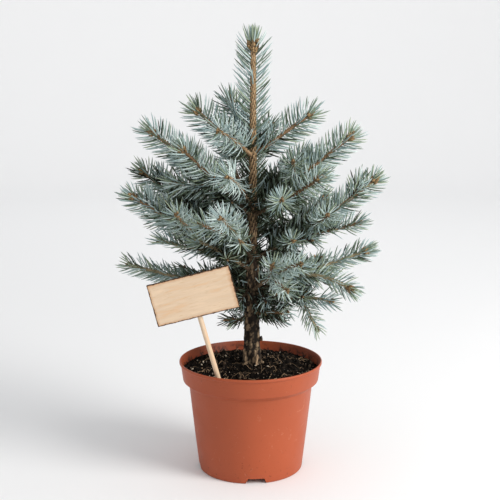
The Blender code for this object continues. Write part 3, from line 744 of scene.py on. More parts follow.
def any_turns(count, rng):
    """Random rotation matrices, an array of (count, 3, 3)."""
    a, b, c, d = rng.normal(size=(4, count))
    size = np.sqrt(a * a + b * b + c * c + d * d)
    a, b, c, d = a / size, b / size, c / size, d / size
    rows = [
        [1 - 2 * (c * c + d * d), 2 * (b * c - a * d), 2 * (b * d + a * c)],
        [2 * (b * c + a * d), 1 - 2 * (b * b + d * d), 2 * (c * d - a * b)],
        [2 * (b * d - a * c), 2 * (c * d + a * b), 1 - 2 * (b * b + c * c)],
    ]
    return np.moveaxis(np.array(rows), 2, 0)


def unit(vectors):
    """Vectors along the last axis, each made one unit long."""
    return vectors / np.maximum(1e-12, np.linalg.norm(vectors, axis=-1, keepdims=True))


# ---------------------------------------------------------------- curves and tubes


def compass(azimuth, rise=0.0):
    """The unit vector towards a compass angle and a rise, both in degrees."""
    a, e = math.radians(azimuth), math.radians(rise)
    return Vector((math.cos(a) * math.cos(e), math.sin(a) * math.cos(e), math.sin(e)))


def arched(start, end, bow, share):
    """The point at a share of the way along a parabola whose middle is bow above the chord."""
    middle = (start + end) / 2 + Vector((0, 0, 2 * bow))
    return start.lerp(middle, share).lerp(middle.lerp(end, share), share)


def clamped(value):
    """The value, kept between 0 and 1."""
    return min(1.0, max(0.0, value))


def interpolate(table, at):
    """The value at one place of a table of (place, value), straight between its rows."""
    return float(np.interp(at, [row[0] for row in table], [row[1] for row in table]))


class Path:
    """A smooth line in space with a frame at each place along it."""

    def __init__(self, points):
        self.points = np.array([tuple(p) for p in points], float)
        steps = np.linalg.norm(np.diff(self.points, axis=0), axis=1)
        self.place = np.concatenate([[0.0], np.cumsum(steps)])
        self.length = self.place[-1]
        self.tangents = unit(np.gradient(self.points, self.place, axis=0))
        side = np.array([0.0, 0.0, 1.0]) if abs(self.tangents[0][2]) < 0.8 else np.array([1.0, 0.0, 0.0])
        sides = []
        for tangent in self.tangents:
            side = side - tangent * side.dot(tangent)
            side = side / np.linalg.norm(side)
            sides.append(side)
        self.sides = np.array(sides)

    def read(self, values, at):
        """Vectors between those at the line's points, at some distances along it."""
        return np.stack([np.interp(at, self.place, values[:, k]) for k in range(3)], -1)

    def at(self, at):
        """Middle, tangent and the two cross directions at some distances along the line."""
        tangent = unit(self.read(self.tangents, at))
        side = self.read(self.sides, at)
        side = unit(side - tangent * (side * tangent).sum(-1, keepdims=True))
        return self.read(self.points, at), tangent, side, np.cross(tangent, side)


def wrapped_tube(bm, path, grid_size, surface):
    """Wraps a fine grid, of so many sides and so long a step, round a path and closes its ends.

    surface(at, angle, middle, outward) gives each point's radius, relief and youth, and the last
    two are kept as attributes.
    """
    sides, step = grid_size
    relief_layer = bm.verts.layers.float.get("relief") or bm.verts.layers.float.new("relief")
    youth_layer = bm.verts.layers.float.get("youth") or bm.verts.layers.float.new("youth")
    rings = max(2, round(path.length / step))
    grid = bmesh.ops.create_grid(bm, x_segments=sides, y_segments=rings, size=0.5)["verts"]
    flat = np.array([v.co for v in grid]) + 0.5
    at = flat[:, 1] * path.length
    angle = flat[:, 0] * math.tau
    middle, _, side, other = path.at(at)
    outward = side * np.cos(angle)[:, None] + other * np.sin(angle)[:, None]
    for k, vert in enumerate(grid):
        radius, vert[relief_layer], vert[youth_layer] = surface(at[k], angle[k], middle[k], outward[k])
        vert.co = middle[k] + outward[k] * radius
    bmesh.ops.remove_doubles(bm, verts=grid, dist=1e-7)
    rim = {e for v in grid if v.is_valid for e in v.link_edges if e.is_boundary}
    made = bmesh.ops.holes_fill(bm, edges=list(rim), sides=0)["faces"]
    bmesh.ops.triangulate(bm, faces=made)


def simple_tube(bm, path, radii, sides):
    """A closed tube along a path with a radius at each of its points."""
    circle = bmesh.ops.create_circle(bm, cap_ends=True, segments=sides, radius=1.0)["verts"]
    cap = circle[0].link_faces[0]
    turns = np.arange(sides) / sides * math.tau
    ring = circle
    for k, (point, radius) in enumerate(zip(path.points, radii)):
        if k:
            made = bmesh.ops.extrude_face_region(bm, geom=[cap])["geom"]
            if k > 1:
                bmesh.ops.delete(bm, geom=[cap], context="FACES_ONLY")
            cap = next(g for g in made if isinstance(g, bmesh.types.BMFace))
            ring = [loop.vert for loop in cap.loops]
        other = np.cross(path.tangents[k], path.sides[k])
        for vert, turn in zip(ring, turns):
            vert.co = point + radius * (path.sides[k] * math.cos(turn) + other * math.sin(turn))


def tube_arrays(path, radii, sides):
    """A closed tube along a path, as points and triangles."""
    bm = bmesh.new()
    simple_tube(bm, path, radii, sides)
    bmesh.ops.recalc_face_normals(bm, faces=bm.faces[:])
    return arrays_of(bm)


def turned(name, profile, steps):
    """A solid turned about Z from a profile of (radius, height) between two points on the axis."""
    bm = bmesh.new()
    verts = [bm.verts.new((radius, 0, height)) for radius, height in profile]
    edges = [bm.edges.new(pair) for pair in zip(verts, verts[1:])]
    bmesh.ops.spin(
        bm, geom=verts + edges, axis=(0, 0, 1), cent=(0, 0, 0), angle=math.tau, steps=steps,
        use_merge=True,
    )
    bmesh.ops.remove_doubles(bm, verts=bm.verts[:], dist=1e-6)
    return mesh_of(name, bm)


# ---------------------------------------------------------------- the trunk and the plan of limbs


def trunk_axis(height):
    """The middle of the trunk at a height."""
    return Vector((interpolate(TRUNK_X, height), 0.0, height))


def trunk_radius(height):
    """The trunk's radius at a height, with its bark."""
    return interpolate(TRUNK_RADII, height) + interpolate(BARK_THICKNESS, height)


class Stem:
    """A stem that carries needles: its path, its radii, and the mass that it belongs to."""

    def __init__(self, mass, points, root_radius, order):
        self.mass = mass
        self.path = Path(points)
        self.root_radius = root_radius
        self.order = order

    def towards_front(self):
        """How squarely the stem faces the front, from -1 to 1."""
        return float(-self.path.tangents[:, 1].mean())

    def facing(self):
        """How much the stem is seen end on, as a star of needles, from 0 to 1."""
        return float(np.clip(STAR_GAIN * self.towards_front() - STAR_START, 0, 1))

    def height(self):
        """The mean height of its points."""
        return self.path.points[:, 2].mean()

    def radius(self, at):
        """The stem's radius at some distances along it."""
        share = np.clip(np.asarray(at) / self.path.length, 0, 1)
        return self.root_radius + (STEM_TIP_RADIUS - self.root_radius) * share


class Leader(Stem):
    """The whole trunk as a stem, for the needles on it."""

    def __init__(self):
        places = [trunk_axis(LEADER_TOP - LEADER_STEP * i) for i in range(LEADER_POINTS, -1, -1)]
        super().__init__("trunk", places, 0.0, None)
        self.low = self.path.points[0][2]

    def radius(self, at):
        """The trunk's radius under its bark at some distances from its lowest point."""
        return np.interp(np.asarray(at) + self.low, *zip(*TRUNK_RADII))


def ruled_pair(azimuth, size, draw):
    """Two twigs for a bough that states none: one to each side, the second further out."""
    pair = []
    side = draw.choice((-1, 1))
    for share in PAIR_SHARES:
        towards = azimuth + side * draw.uniform(*PAIR_SWING)
        pair.append((share, towards, draw.uniform(*PAIR_RISE), size * draw.uniform(*PAIR_LENGTH)))
        side = -side
    return pair


LEADER_TOP = 0.5635  # where the leader's stem ends in buds
LEADER_RISE = 0.00062  # height between one needle's foot and the next on the leader
LEADER_STEP = 0.0025
LEADER_POINTS = 168

# Gaps in the crown seen from the front: their middle and half sizes at the trunk, and their slope.
EYE = (0.0, -1.34, 0.54)
SKY_GAPS = (
    (-0.1115, 0.2882, 0.0430, 0.0092, -0.30),
    (-0.1457, 0.3000, 0.0144, 0.0105, 0.00),
    (-0.0735, 0.2785, 0.0230, 0.0078, -0.24),
    (0.1080, 0.3068, 0.0300, 0.0100, 0.30),
    (0.0790, 0.2970, 0.0170, 0.0058, -0.55),
    (0.0960, 0.2464, 0.0130, 0.0042, -0.45),
    (0.0170, 0.3060, 0.0080, 0.0105, 0.00),
    (0.0195, 0.2693, 0.0052, 0.0042, 0.00),
    (0.0175, 0.2491, 0.0062, 0.0050, 0.00),
    (-0.0145, 0.3998, 0.0105, 0.0130, 0.00),
    (0.0205, 0.4140, 0.0082, 0.0070, 0.00),
    (0.0268, 0.4695, 0.0072, 0.0085, 0.00),
    (0.0479, 0.3424, 0.0070, 0.0055, 0.00),
)
# Where the bark shows from the front: from and to what height, and its left and right sides.
TRUNK_WINDOWS = (
    (0.378, 0.430, -0.0032, 0.0085),
    (0.296, 0.342, 0.0000, 0.0092),
    (0.226, 0.286, -0.0050, 0.0085),
)
WINDOW_SHARE = 0.88  # the share of the needles before a window that are left out
GAP_RAGGED = (-0.05, 1.15)  # how far out the needles round a gap end, as shares of its size
TRUNK_SHOWN = 0.024  # how near to the trunk's middle no fine twig stands before it
TRUNK_SHOWN_FROM = 0.25
# How far needles keep from the pot's rim, the label's edges and its back.
CLEAR_ABOVE_POT = 0.004
CLEAR_OF_LABEL = 0.002
CLEAR_BEHIND_LABEL = 0.010

SHORTEST_STEM = 5  # points of a stem that a gap has to leave
UNCUT_SHARE = 0.5  # a bough that meets a gap before this share of its points isn't cut

# Finer twigs: where they leave their bough, how far they swing from it, their rise and length.
FINE_SHARES = (0.13, 0.20, 0.27, 0.34, 0.43, 0.52)
FINE_SHIFT = 0.03
FINE_SWING = (42, 74)
FINE_RISE = (-30, 34)
FINE_LENGTH = (0.024, 0.040)
FINE_FROM_REACH = 0.09
# Short twigs low on the trunk: their mass, height, compass angle, rise and length.
TRUNK_TWIGS = (
    ("lower_low_left", 0.2340, -150, -12, 0.030),
    ("lower_low_left", 0.2450, -128, -34, 0.026),
    ("lower_low_left", 0.2280, 160, -14, 0.030),
    ("lower_low_front", 0.2300, -58, -30, 0.028),
    ("lower_low_front", 0.2200, 12, -16, 0.030),
    ("lower_low_left", 0.2080, -166, -24, 0.024),
    ("lower_low_front", 0.2130, -16, -14, 0.038),
    ("lower_low_front", 0.2090, 28, -12, 0.034),
    ("lower_back", 0.2200, 70, -10, 0.034),
    ("lower_back", 0.2150, 118, -6, 0.034),
)
TRUNK_TWIG_ROOT = 0.8  # how far out of the trunk's middle they start, as a share of its radius
# More of the fine twigs: their bough, its share there, compass angle, rise and length.
MORE_TWIGS = (
    ("middle_left_back", 0.56, 150, 58, 0.036),
    ("middle_left_back", 0.72, 172, 62, 0.033),
    ("middle_left", 0.60, -168, 60, 0.036),
    ("middle_left", 0.76, 176, 56, 0.030),
    ("middle_right", 0.80, 6, 64, 0.028),
)


def twig(mass, root, direction, size, order):
    """A straight stem that sags a little."""
    tip = root + direction * size
    points = [arched(root, tip, -TWIG_SAG * size, i / STEM_POINTS) for i in range(STEM_POINTS + 1)]
    return Stem(mass, points, TWIG_RADIUS, order)


def grow_plan():
    """The bare limbs, as {name: path}, and the stems of every mass: boughs, twigs and fine twigs."""
    draw = random.Random(SEED)
    fine = random.Random(SEED + 1)
    limbs, stems = {}, []
    for name, foot, azimuth, reach, height, bow, twigs in BOUGHS:
        if twigs is None:
            twigs = ruled_pair(azimuth, math.hypot(reach, height - foot), draw)
        start = trunk_axis(foot)
        end = trunk_axis(height) + compass(azimuth) * reach
        first = trunk_radius(foot) / (end - start).length
        if reach > BARE_FROM_REACH and foot < BARE_BELOW:
            bare = [BARE_SHARE * BARE_OVERLAP * i / BOUGH_POINTS for i in range(BOUGH_POINTS + 1)]
            limbs[name] = Path([arched(start, end, bow, share) for share in bare])
            first = BARE_SHARE
        shares = [first + (1 - first) * i / STEM_POINTS for i in range(STEM_POINTS + 1)]
        thick = STEM_RADIUS * min(1.0, 0.3 + reach / FINE_FROM_REACH)
        stems.append(Stem(name, [arched(start, end, bow, s) for s in shares], thick, 0))
        for share, towards, rise, size in twigs:
            stems.append(twig(name, arched(start, end, bow, share), compass(towards, rise), size, 1))
        if reach > FINE_FROM_REACH:
            side = fine.choice((-1, 1))
            for share in FINE_SHARES:
                towards = azimuth + side * fine.uniform(*FINE_SWING)
                direction = compass(towards, fine.uniform(*FINE_RISE))
                root = arched(start, end, bow, share + fine.uniform(-FINE_SHIFT, FINE_SHIFT))
                shoot = twig(name, root, direction, fine.uniform(*FINE_LENGTH), 2)
                points = shoot.path.points
                if open_space(points).all() and not before_trunk(points) and not in_sky(points).any():
                    stems.append(shoot)
                side = -side
        for mass, share, towards, rise, size in MORE_TWIGS:
            if mass == name:
                stems.append(twig(name, arched(start, end, bow, share), compass(towards, rise), size, 2))
    for mass, height, azimuth, rise, size in TRUNK_TWIGS:
        root = trunk_axis(height) + compass(azimuth) * trunk_radius(height) * TRUNK_TWIG_ROOT
        stems.append(twig(mass, root, compass(azimuth, rise), size, 2))
    return limbs, [kept for stem in stems if (kept := clear_of_gaps(stem))]


def clear_of_gaps(stem):
    """The stem cut off where it enters a gap in the crown, or None if too little is left of it."""
    inside = in_sky(stem.path.points)
    first = int(inside.argmax())
    if not inside.any() or (stem.order == 0 and first < UNCUT_SHARE * len(inside)):
        return stem
    if first < SHORTEST_STEM:
        return None
    return Stem(stem.mass, stem.path.points[:first], stem.root_radius, stem.order)


# ---------------------------------------------------------------- bark


def old_bark(point):
    """How high flaking bark stands at a point, from 0 in a crack to 1 on a scale."""
    stretched = Vector((point[0], point[1], point[2] * SCALE_STRETCH)) * SCALES
    wander = noise.noise_vector(Vector(point) * SCALE_WANDER[0]) * SCALE_WANDER[1]
    near, places = noise.voronoi(stretched + wander)
    scale = min(1.0, (near[1] - near[0]) * SCALE_EDGE)
    own = noise.cell(places[0] * 9.0)
    flake = noise.fractal(Vector(point) * FLAKES, 0.9, 2.1, 4)
    return clamped(scale * (SCALE_HEIGHT[0] + SCALE_HEIGHT[1] * own) + FLAKE_HEIGHT * flake)


def young_bark(at, angle, radius):
    """How high a ridge stands below each needle's foot, from 0 in a groove to 1."""
    best = 0.0
    first = math.ceil(at / LEADER_RISE)
    for i in range(first, first + int(RIDGE_LENGTH / LEADER_RISE)):
        turn = (i * GOLDEN_ANGLE - angle + math.pi) % math.tau - math.pi
        across = turn * radius / RIDGE_WIDTH
        below = (i * LEADER_RISE - at) / RIDGE_LENGTH
        best = max(best, math.exp(-across * across) * (1 - below * below))
    return best


def trunk_surface(relief):
    """What gives the trunk's radius, relief and youth at a place on it."""

    def surface(at, angle, middle, outward):
        """The old bark's scales low down and the young bark's ridges high up."""
        height = middle[2]
        radius = trunk_radius(height)
        flare = max(0.0, FLARE_TOP - height) / (FLARE_TOP - TRUNK_FOOT)
        lobes = 1 + FLARE_DEPTH * flare * math.cos(FLARE_LOBES * math.atan2(outward[1], outward[0]))
        youth = clamped((height - OLD_BARK_TOP) / (YOUNG_BARK_FROM - OLD_BARK_TOP))
        old = old_bark(middle + outward * radius)
        young = young_bark(at, angle, radius)
        stands = old * (1 - youth) + young * youth
        out = relief * (1 - youth) * (old - OLD_LEVEL)
        out += YOUNG_RELIEF * youth * (young - YOUNG_LEVEL)
        out += SWELLING[1] * (1 - youth) * noise.noise(Vector(middle) * SWELLING[0] + Vector(outward))
        return radius * lobes + out, stands, youth

    return surface


def bough_surface(path):
    """What gives a bough's radius, relief and youth: it swells where it leaves the trunk."""

    def surface(at, angle, middle, outward):
        """Scales and ridges in equal parts."""
        share = at / path.length
        radius = BOUGH_RADIUS + (STEM_RADIUS - BOUGH_RADIUS) * share
        radius *= 1 + BOUGH_SWELLING[0] * math.exp(-at / BOUGH_SWELLING[1])
        old = old_bark((middle + outward * radius) * BOUGH_FINER)
        young = young_bark(at, angle, radius)
        stands = 0.5 * old + 0.5 * young
        return radius + YOUNG_RELIEF * (stands - BOUGH_LEVEL), 0.75 * stands, 0.06 + 0.2 * share

    return surface


def stub_surface(radius, size):
    """What gives the radius and relief of a twig's stub, which narrows towards its end."""

    def surface(at, angle, middle, outward):
        """Scales only; the angle round a stub changes nothing."""
        wide = radius * (STUB_TAPER[0] - STUB_TAPER[1] * at / size)
        old = old_bark((middle + outward * wide) * STUB_FINER)
        return wide * (STUB_RELIEF[0] + STUB_RELIEF[1] * old), old, 0.0

    return surface


def make_trunk(settings):
    """The trunk from its flared foot to the leader's buds, with the stubs of old twigs."""
    bm = bmesh.new()
    low = TRUNK_FOOT - TRUNK_SUNK
    heights = [low + (LEADER_TOP - low) * i / TRUNK_STEPS for i in range(TRUNK_STEPS + 1)]
    path = Path([trunk_axis(height) for height in heights])
    wrapped_tube(bm, path, TRUNK_GRID, trunk_surface(settings.relief))
    draw = random.Random(SEED + 3)
    ranges = (STUB_HEIGHT, (0, 360), STUB_REACH, STUB_RADIUS)
    stubs = [FIRST_STUB, *([draw.uniform(*ends) for ends in ranges] for _ in range(MORE_STUBS))]
    for height, azimuth, reach, radius in stubs:
        size = reach + STUB_ROOT
        foot = trunk_axis(height) + compass(azimuth) * (trunk_radius(height) - STUB_ROOT)
        end = foot + compass(azimuth, draw.uniform(*STUB_RISE)) * size
        stub = Path([foot.lerp(end, i / 4) for i in range(5)])
        wrapped_tube(bm, stub, STUB_GRID, stub_surface(radius, size))
    return mesh_of("trunk_bark", bm)


def make_boughs(limbs):
    """The bark of every bough's bare share."""
    bm = bmesh.new()
    for path in limbs.values():
        wrapped_tube(bm, path, BOUGH_GRID, bough_surface(path))
    return mesh_of("bough_bark", bm)


# ---------------------------------------------------------------- needles, twigs and buds

NEEDLE_RINGS = ((0.0, 0.55), (0.12, 0.90), (0.50, 1.0), (0.82, 0.76))
SHADES = ("pale", "silver", "blue", "green", "deep", "shade", "fresh")
# How the shades are dealt out at the tips, along the open stems, and inside the crown, where dark shades
# paint the shade that falls there.
TIP_DEAL = (0.08, 0.22, 0.16, 0.32, 0.02, 0.00, 0.20)
OPEN_DEAL = (0.15, 0.25, 0.23, 0.18, 0.11, 0.02, 0.06)
LEADER_DEAL = (0.11, 0.25, 0.28, 0.26, 0.06, 0.00, 0.04)
# Shoots that face the front are dealt paler shades: painted light from the front.
LIT_STAR_DEAL = (0.40, 0.31, 0.14, 0.07, 0.04, 0.00, 0.04)  # on shoots that face the front
INNER_SHADE_DEAL = (0.00, 0.03, 0.06, 0.14, 0.23, 0.54, 0.00)
# What the deal changes by low in the crown, where the needles are greener, and where that starts
# and ends.
LOW_SHIFT = (0.00, 0.00, -0.10, 0.02, 0.00, 0.00, 0.08)
LOW_HEIGHTS = (0.27, 0.39)
SPRAY = 3  # needles that share one shade
CROWN_MIDDLE = (0.003, 0.0)
INNER_REACH = (0.042, 0.060)  # where the crown's inside ends and how soon it opens
INNER_TOP = (0.355, 0.46)  # heights between which the inside thins to nothing
FINE_OPEN_REACH = (0.075, 0.115)  # between these, fine twigs come out of the shade
FINE_OPENNESS = (0.35, 0.80)  # their share of the light at the one and the other
# How much more open some masses are than their distance from the trunk says: the more open, the fewer of
# their needles are dealt painted shade.
MASS_OPENNESS = {
    "lower_front_right": 0.78, "lower_right_front": 0.70, "lower_low_right": 0.80,
    "middle_right": 0.20, "lower_right": 0.25, "lower_left": 0.25,
    "middle_low_left": -0.10, "middle_left_back": -0.25, "top_back_left": -0.25,
}
SHADE_JITTER = 0.09  # how far a needle's own shade may be from its spray's, in the deal
TUFT_FADE = (1.6, 0.009)  # how strongly and how far from the end the tips' deal counts
TUFT_IN_SHADE = (0.35, 0.65)  # how much it counts inside the crown, and how much more outside
NEEDLE_GLOSS = 0.35
DARK_GLOSS = 0.12
DARK_SHADES = ("deep", "shade")
# At some heights in the crown: a needle's length, width and spread, and how many there are, as
# shares of the settings. Low shoots are slimmer, with finer needles that lean forwards.
BY_HEIGHT = (
    (0.20, 0.62, 0.82, 0.85, 0.75),
    (0.23, 0.82, 0.98, 0.84, 0.92),
    (0.29, 0.84, 1.00, 0.86, 0.95),
    (0.35, 0.98, 1.00, 0.96, 1.02),
    (0.45, 1.10, 1.08, 1.04, 1.04),
)
FRONT_ANGLE = math.radians(44)  # how far to each side of the front a stem shows its bark
SIDE_ON = 0.5  # how squarely a bough that is seen from the side may face the front
BOUGH_NUMBER = 1.10  # how many needles the boughs' shoots have to a twig's
# The share of the needles left before a bough seen from the side, and that share on some boughs.
PARTED_SHARE = 0.40
COVERED = {
    "lower_right_front": 0.90, "lower_low_right": 0.90, "lower_right": 0.65, "lower_left": 0.60,
    "middle_right": 0.25,
}
LIMB_SHARE = 0.75  # the share of the needles left on a bough's bare part
LIMB_SPREAD = 70
# How the needles close round the buds: their angle there, and how far from the end it starts.
TIP_SPREAD = 24
TIP_STRETCH = 0.014
TIP_SHORTER = 0.12
# A stem that faces the front is seen as a star, and its needles close less round the bud.
STAR_GAIN = 2.2
STAR_START = 0.9
STAR_OPEN = 0.65
# How unevenly needles stand: about the stem, in degrees from it along it and at its end, and in
# their own direction. Those above a stem stand further out than those below it.
TURN_JITTER = 0.05
LEAN_JITTER = 2.5
TIP_LEAN_JITTER = 7
AIM_JITTER = 0.018
LEAN_UP = 5
# Lengths and widths, as shares of the usual ones.
NEEDLE_LENGTHS = (0.90, 1.05)
NEEDLE_WIDTHS = (0.88, 1.10)
FIRST_LENGTHS = (0.70, 0.30)  # at a stem's first needles, and what is added along it
FIRST_STRETCH = 0.015
FINE_SHORTER = 0.86
WIDER_SIDE_ON = 1.26
NARROWER_END_ON = 0.42
FOOT_DEPTH = 0.8  # how far out of the stem's middle a needle's foot is, as a share of its radius
TESTED_AT = (0.45, 0.75, 1.0)  # places along a needle that have to be clear
# How long the needles on a mass's side twigs are, as shares of the others there.
TWIG_NEEDLES = {"upper_right": 0.84, "upper_front_right": 0.78, "middle_right": 0.88}
BEND = 0.15  # how far a needle curves forwards, as a share of its length
BEND_BACK = 0.35  # how much of that it stands back at first
BEND_UP = (0, 0, 0.25)
LIFT = 0.10  # how much the needles turn up

# Needles that stand forward round the end buds of the leader (None), the boughs (0) and the twigs
# (1): how many, their length and width, how far out of the stem they start, and how far the first
# and the last of them lean.
TUFTS = {
    None: (20, 0.0280, 0.0017, 0.0022, (0.06, 0.42)),
    0: (18, 0.0205, 0.0013, 0.0026, (0.10, 0.72)),
    1: (9, 0.0170, 0.0012, 0.0018, (0.15, 0.70)),
}
TUFT_FROM_END = 0.004
TUFT_LENGTHS = (0.88, 1.0)
TUFTED_FROM = 0.26  # the height below which no shoot has them
TUFTED_FACING = 0.75  # how squarely a shoot that has them may face the front
TUFT_DEAL = (0.05, 0.15, 0.10, 0.35, 0.00, 0.00, 0.35)

# Needles on the trunk itself: their mass, from what height to what height, the share of them that
# is left, their spread, their length, and the share left in front. The leader's reach its buds.
TRUNK_NEEDLES = (
    ("leader", 0.428, None, 1.0, 57, 0.0305, 0.05),
    ("upper_trunk", 0.368, 0.424, 1.0, 50, 0.0270, 0.04),
    ("upper_trunk", 0.290, 0.336, 1.0, 68, 0.0230, 0.04),
    ("upper_trunk", 0.212, 0.262, 0.8, 75, 0.0170, 0.12),
)

# A bud one unit high: its core's radii, and its rings of scales with their height, distance from
# the middle, lean in degrees, and length.
BUD_CORE = (0.25, 0.25, 0.42)
BUD_RINGS = (
    (0.0, 0.16, 26, 0.42),
    (0.18, 0.27, 6, 0.42),
    (0.42, 0.24, -14, 0.40),
    (0.60, 0.14, -26, 0.38),
)
BUD_SCALES = 5
SCALE_RADII = (0.19, 0.02)
SCALE_FLATNESS = (0.32, 1.25)
BUD_FACES = 8  # triangles in a row that share a tone
BUD_TONES = (1.5, 0.9, 0.4)
TWIG_TONES = ("olive", "tan", "brown", "dark")
DARKEST = 3  # the number of the last of them
USUAL_TONE = 2
# The woody peg under a needle: its width as a share of the needle's, and how it leans forwards.
PEG_SIDES = 5
PEG_TAPER = 0.62
PEG_WIDTH = 0.44
PEG_LENGTH = 0.0023
PEG_SUNK = 0.0006
PEG_LEAN = 0.6
PEG_DEAL = (0.40, 0.40, 0.20)  # pegs lighter than their stem, like it, and darker
# Which of the tones the stems have, where it isn't the third.
STEM_TONES = {
    "top_left": 1, "top_front_left": 1, "upper_left": 1, "upper_front_left": 1,
    "middle_front_left": 1, "middle_left": 1, "lower_right": 0, "lower_right_front": 0,
    "lower_left": 0, "lower_low_right": 0, "middle_low_left": 0,
}
# Of the leader (None), boughs (0), twigs (1) and fine twigs (2): a bud's width and height, and
# how many smaller ones stand round it.
BUD_SIZES = {
    None: (0.0118, 0.0105, 17),
    0: (0.0088, 0.0084, 10),
    1: (0.0058, 0.0060, 3),
    2: (0.0040, 0.0044, 0),
}
SHORT_BOUGH = 0.05  # a bough shorter than this has a fine twig's bud
SMALL_BUD_FACING = 0.62  # a bough that faces the front more squarely has a twig's buds, as low ones do
BUD_SUNK = 0.0008
# The smaller buds: how far they lean out, how far down they start and how far that is spread,
# how far out they stand, and their size, as shares of the middle one's.
SIDE_BUD_LEAN = (0.5, 1.0)
SIDE_BUD_DOWN = (-0.1, 0.2)
SIDE_BUD_ROW = 0.9
SIDE_BUD_OUT = 0.30
SIDE_BUD_SIZE = (0.65, 0.95)
SIDE_BUD_JITTER = 0.15


def standing_cone(bm, sides, foot_radius, top_radius, height=1.0):
    """The corners of a new cone that stands on z 0."""
    return bmesh.ops.create_cone(
        bm, cap_ends=True, segments=sides, radius1=foot_radius, radius2=top_radius, depth=height,
        matrix=Matrix.Translation((0, 0, height / 2)),
    )["verts"]


def needle_shape():
    """A slim four-sided needle from z 0 to 1, its ends drawn in and its tip a point."""
    bm = bmesh.new()
    standing_cone(bm, 4, 1, 1)
    for height, _ in NEEDLE_RINGS[1:]:
        whole_needle = [*bm.verts, *bm.edges, *bm.faces]
        bmesh.ops.bisect_plane(bm, geom=whole_needle, plane_co=(0, 0, height), plane_no=(0, 0, 1))
    for vert in bm.verts:
        wide = interpolate((*NEEDLE_RINGS, (1.0, 0.0)), vert.co.z)
        vert.co.x *= wide
        vert.co.y *= wide
    bmesh.ops.remove_doubles(bm, verts=bm.verts[:], dist=1e-5)
    return arrays_of(bm)


def bent_needles(shape, feet, directions, bends, lengths, widths):
    """Copies of the needle, each bent towards its own side as it goes out."""
    points, faces = shape
    side = unit(np.cross(directions, bends))
    lift = np.cross(side, directions)
    along = points[:, 2]
    curved = along * along - along * BEND_BACK
    moved = (
        feet[:, None]
        + directions[:, None] * (along[None, :, None] * lengths[:, None, None])
        + lift[:, None] * (curved[None, :, None] * lengths[:, None, None] * BEND)
        + side[:, None] * (points[None, :, 0, None] * widths[:, None, None] / 2)
        + lift[:, None] * (points[None, :, 1, None] * widths[:, None, None] / 2)
    )
    numbers = np.arange(len(feet))[:, None, None] * len(points)
    return moved.reshape(-1, 3), (faces[None] + numbers).reshape(-1, 3)


def open_space(points):
    """Which points are clear of the trunk, the compost and the label."""
    heights = points[:, 2]
    radius = np.interp(heights, [h for h, _ in TRUNK_RADII], [r for _, r in TRUNK_RADII])
    clear = np.hypot(points[:, 0] - TRUNK_MIDDLE_X, points[:, 1]) > radius
    clear |= heights > BARE_BELOW
    clear &= heights > POT_HEIGHT + CLEAR_ABOVE_POT
    turn, middle = label_turn()
    across, up, before = ((points - np.array(middle)) @ np.array(turn)).T
    across, half_width, half_height = np.abs(across), PLATE_SIZE[0] / 2, PLATE_SIZE[1] / 2
    by_plate = (across < half_width + CLEAR_OF_LABEL) & (np.abs(up) < half_height + CLEAR_OF_LABEL)
    by_stick = (across < STICK_RADIUS + CLEAR_OF_LABEL) & (up < 0)
    return clear & ~((by_plate | by_stick) & (before > -CLEAR_BEHIND_LABEL))


def seen_at(points):
    """Where points come in the trunk's plane, as seen from the front: how far across and how high."""
    away = -EYE[1] / (points[:, 1] - EYE[1])
    return EYE[0] + (points[:, 0] - EYE[0]) * away, EYE[2] + (points[:, 2] - EYE[2]) * away


def in_sky(points, reach=1.0):
    """Which points would close one of the crown's gaps, as seen from the front."""
    across, up = seen_at(points)
    found = np.zeros(len(points), bool)
    for x, z, wide, high, slope in SKY_GAPS:
        right = across - x
        above = up - z - slope * right
        found |= (right / wide) ** 2 + (above / high) ** 2 < reach
    return found


def hides_trunk(points):
    """Which points stand before the bark where it shows from the front."""
    across, up = seen_at(points)
    shown = np.zeros(len(points), bool)
    for low, high, left, right in TRUNK_WINDOWS:
        shown |= (up > low) & (up < high) & (across > left) & (across < right)
    return shown & (points[:, 1] < 0)


def before_trunk(points):
    """Whether any point stands before the middle of the trunk, as seen from the front."""
    beside = np.abs(points[:, 0] - TRUNK_MIDDLE_X) < TRUNK_SHOWN
    return (beside & (points[:, 1] < 0) & (points[:, 2] > TRUNK_SHOWN_FROM)).any()


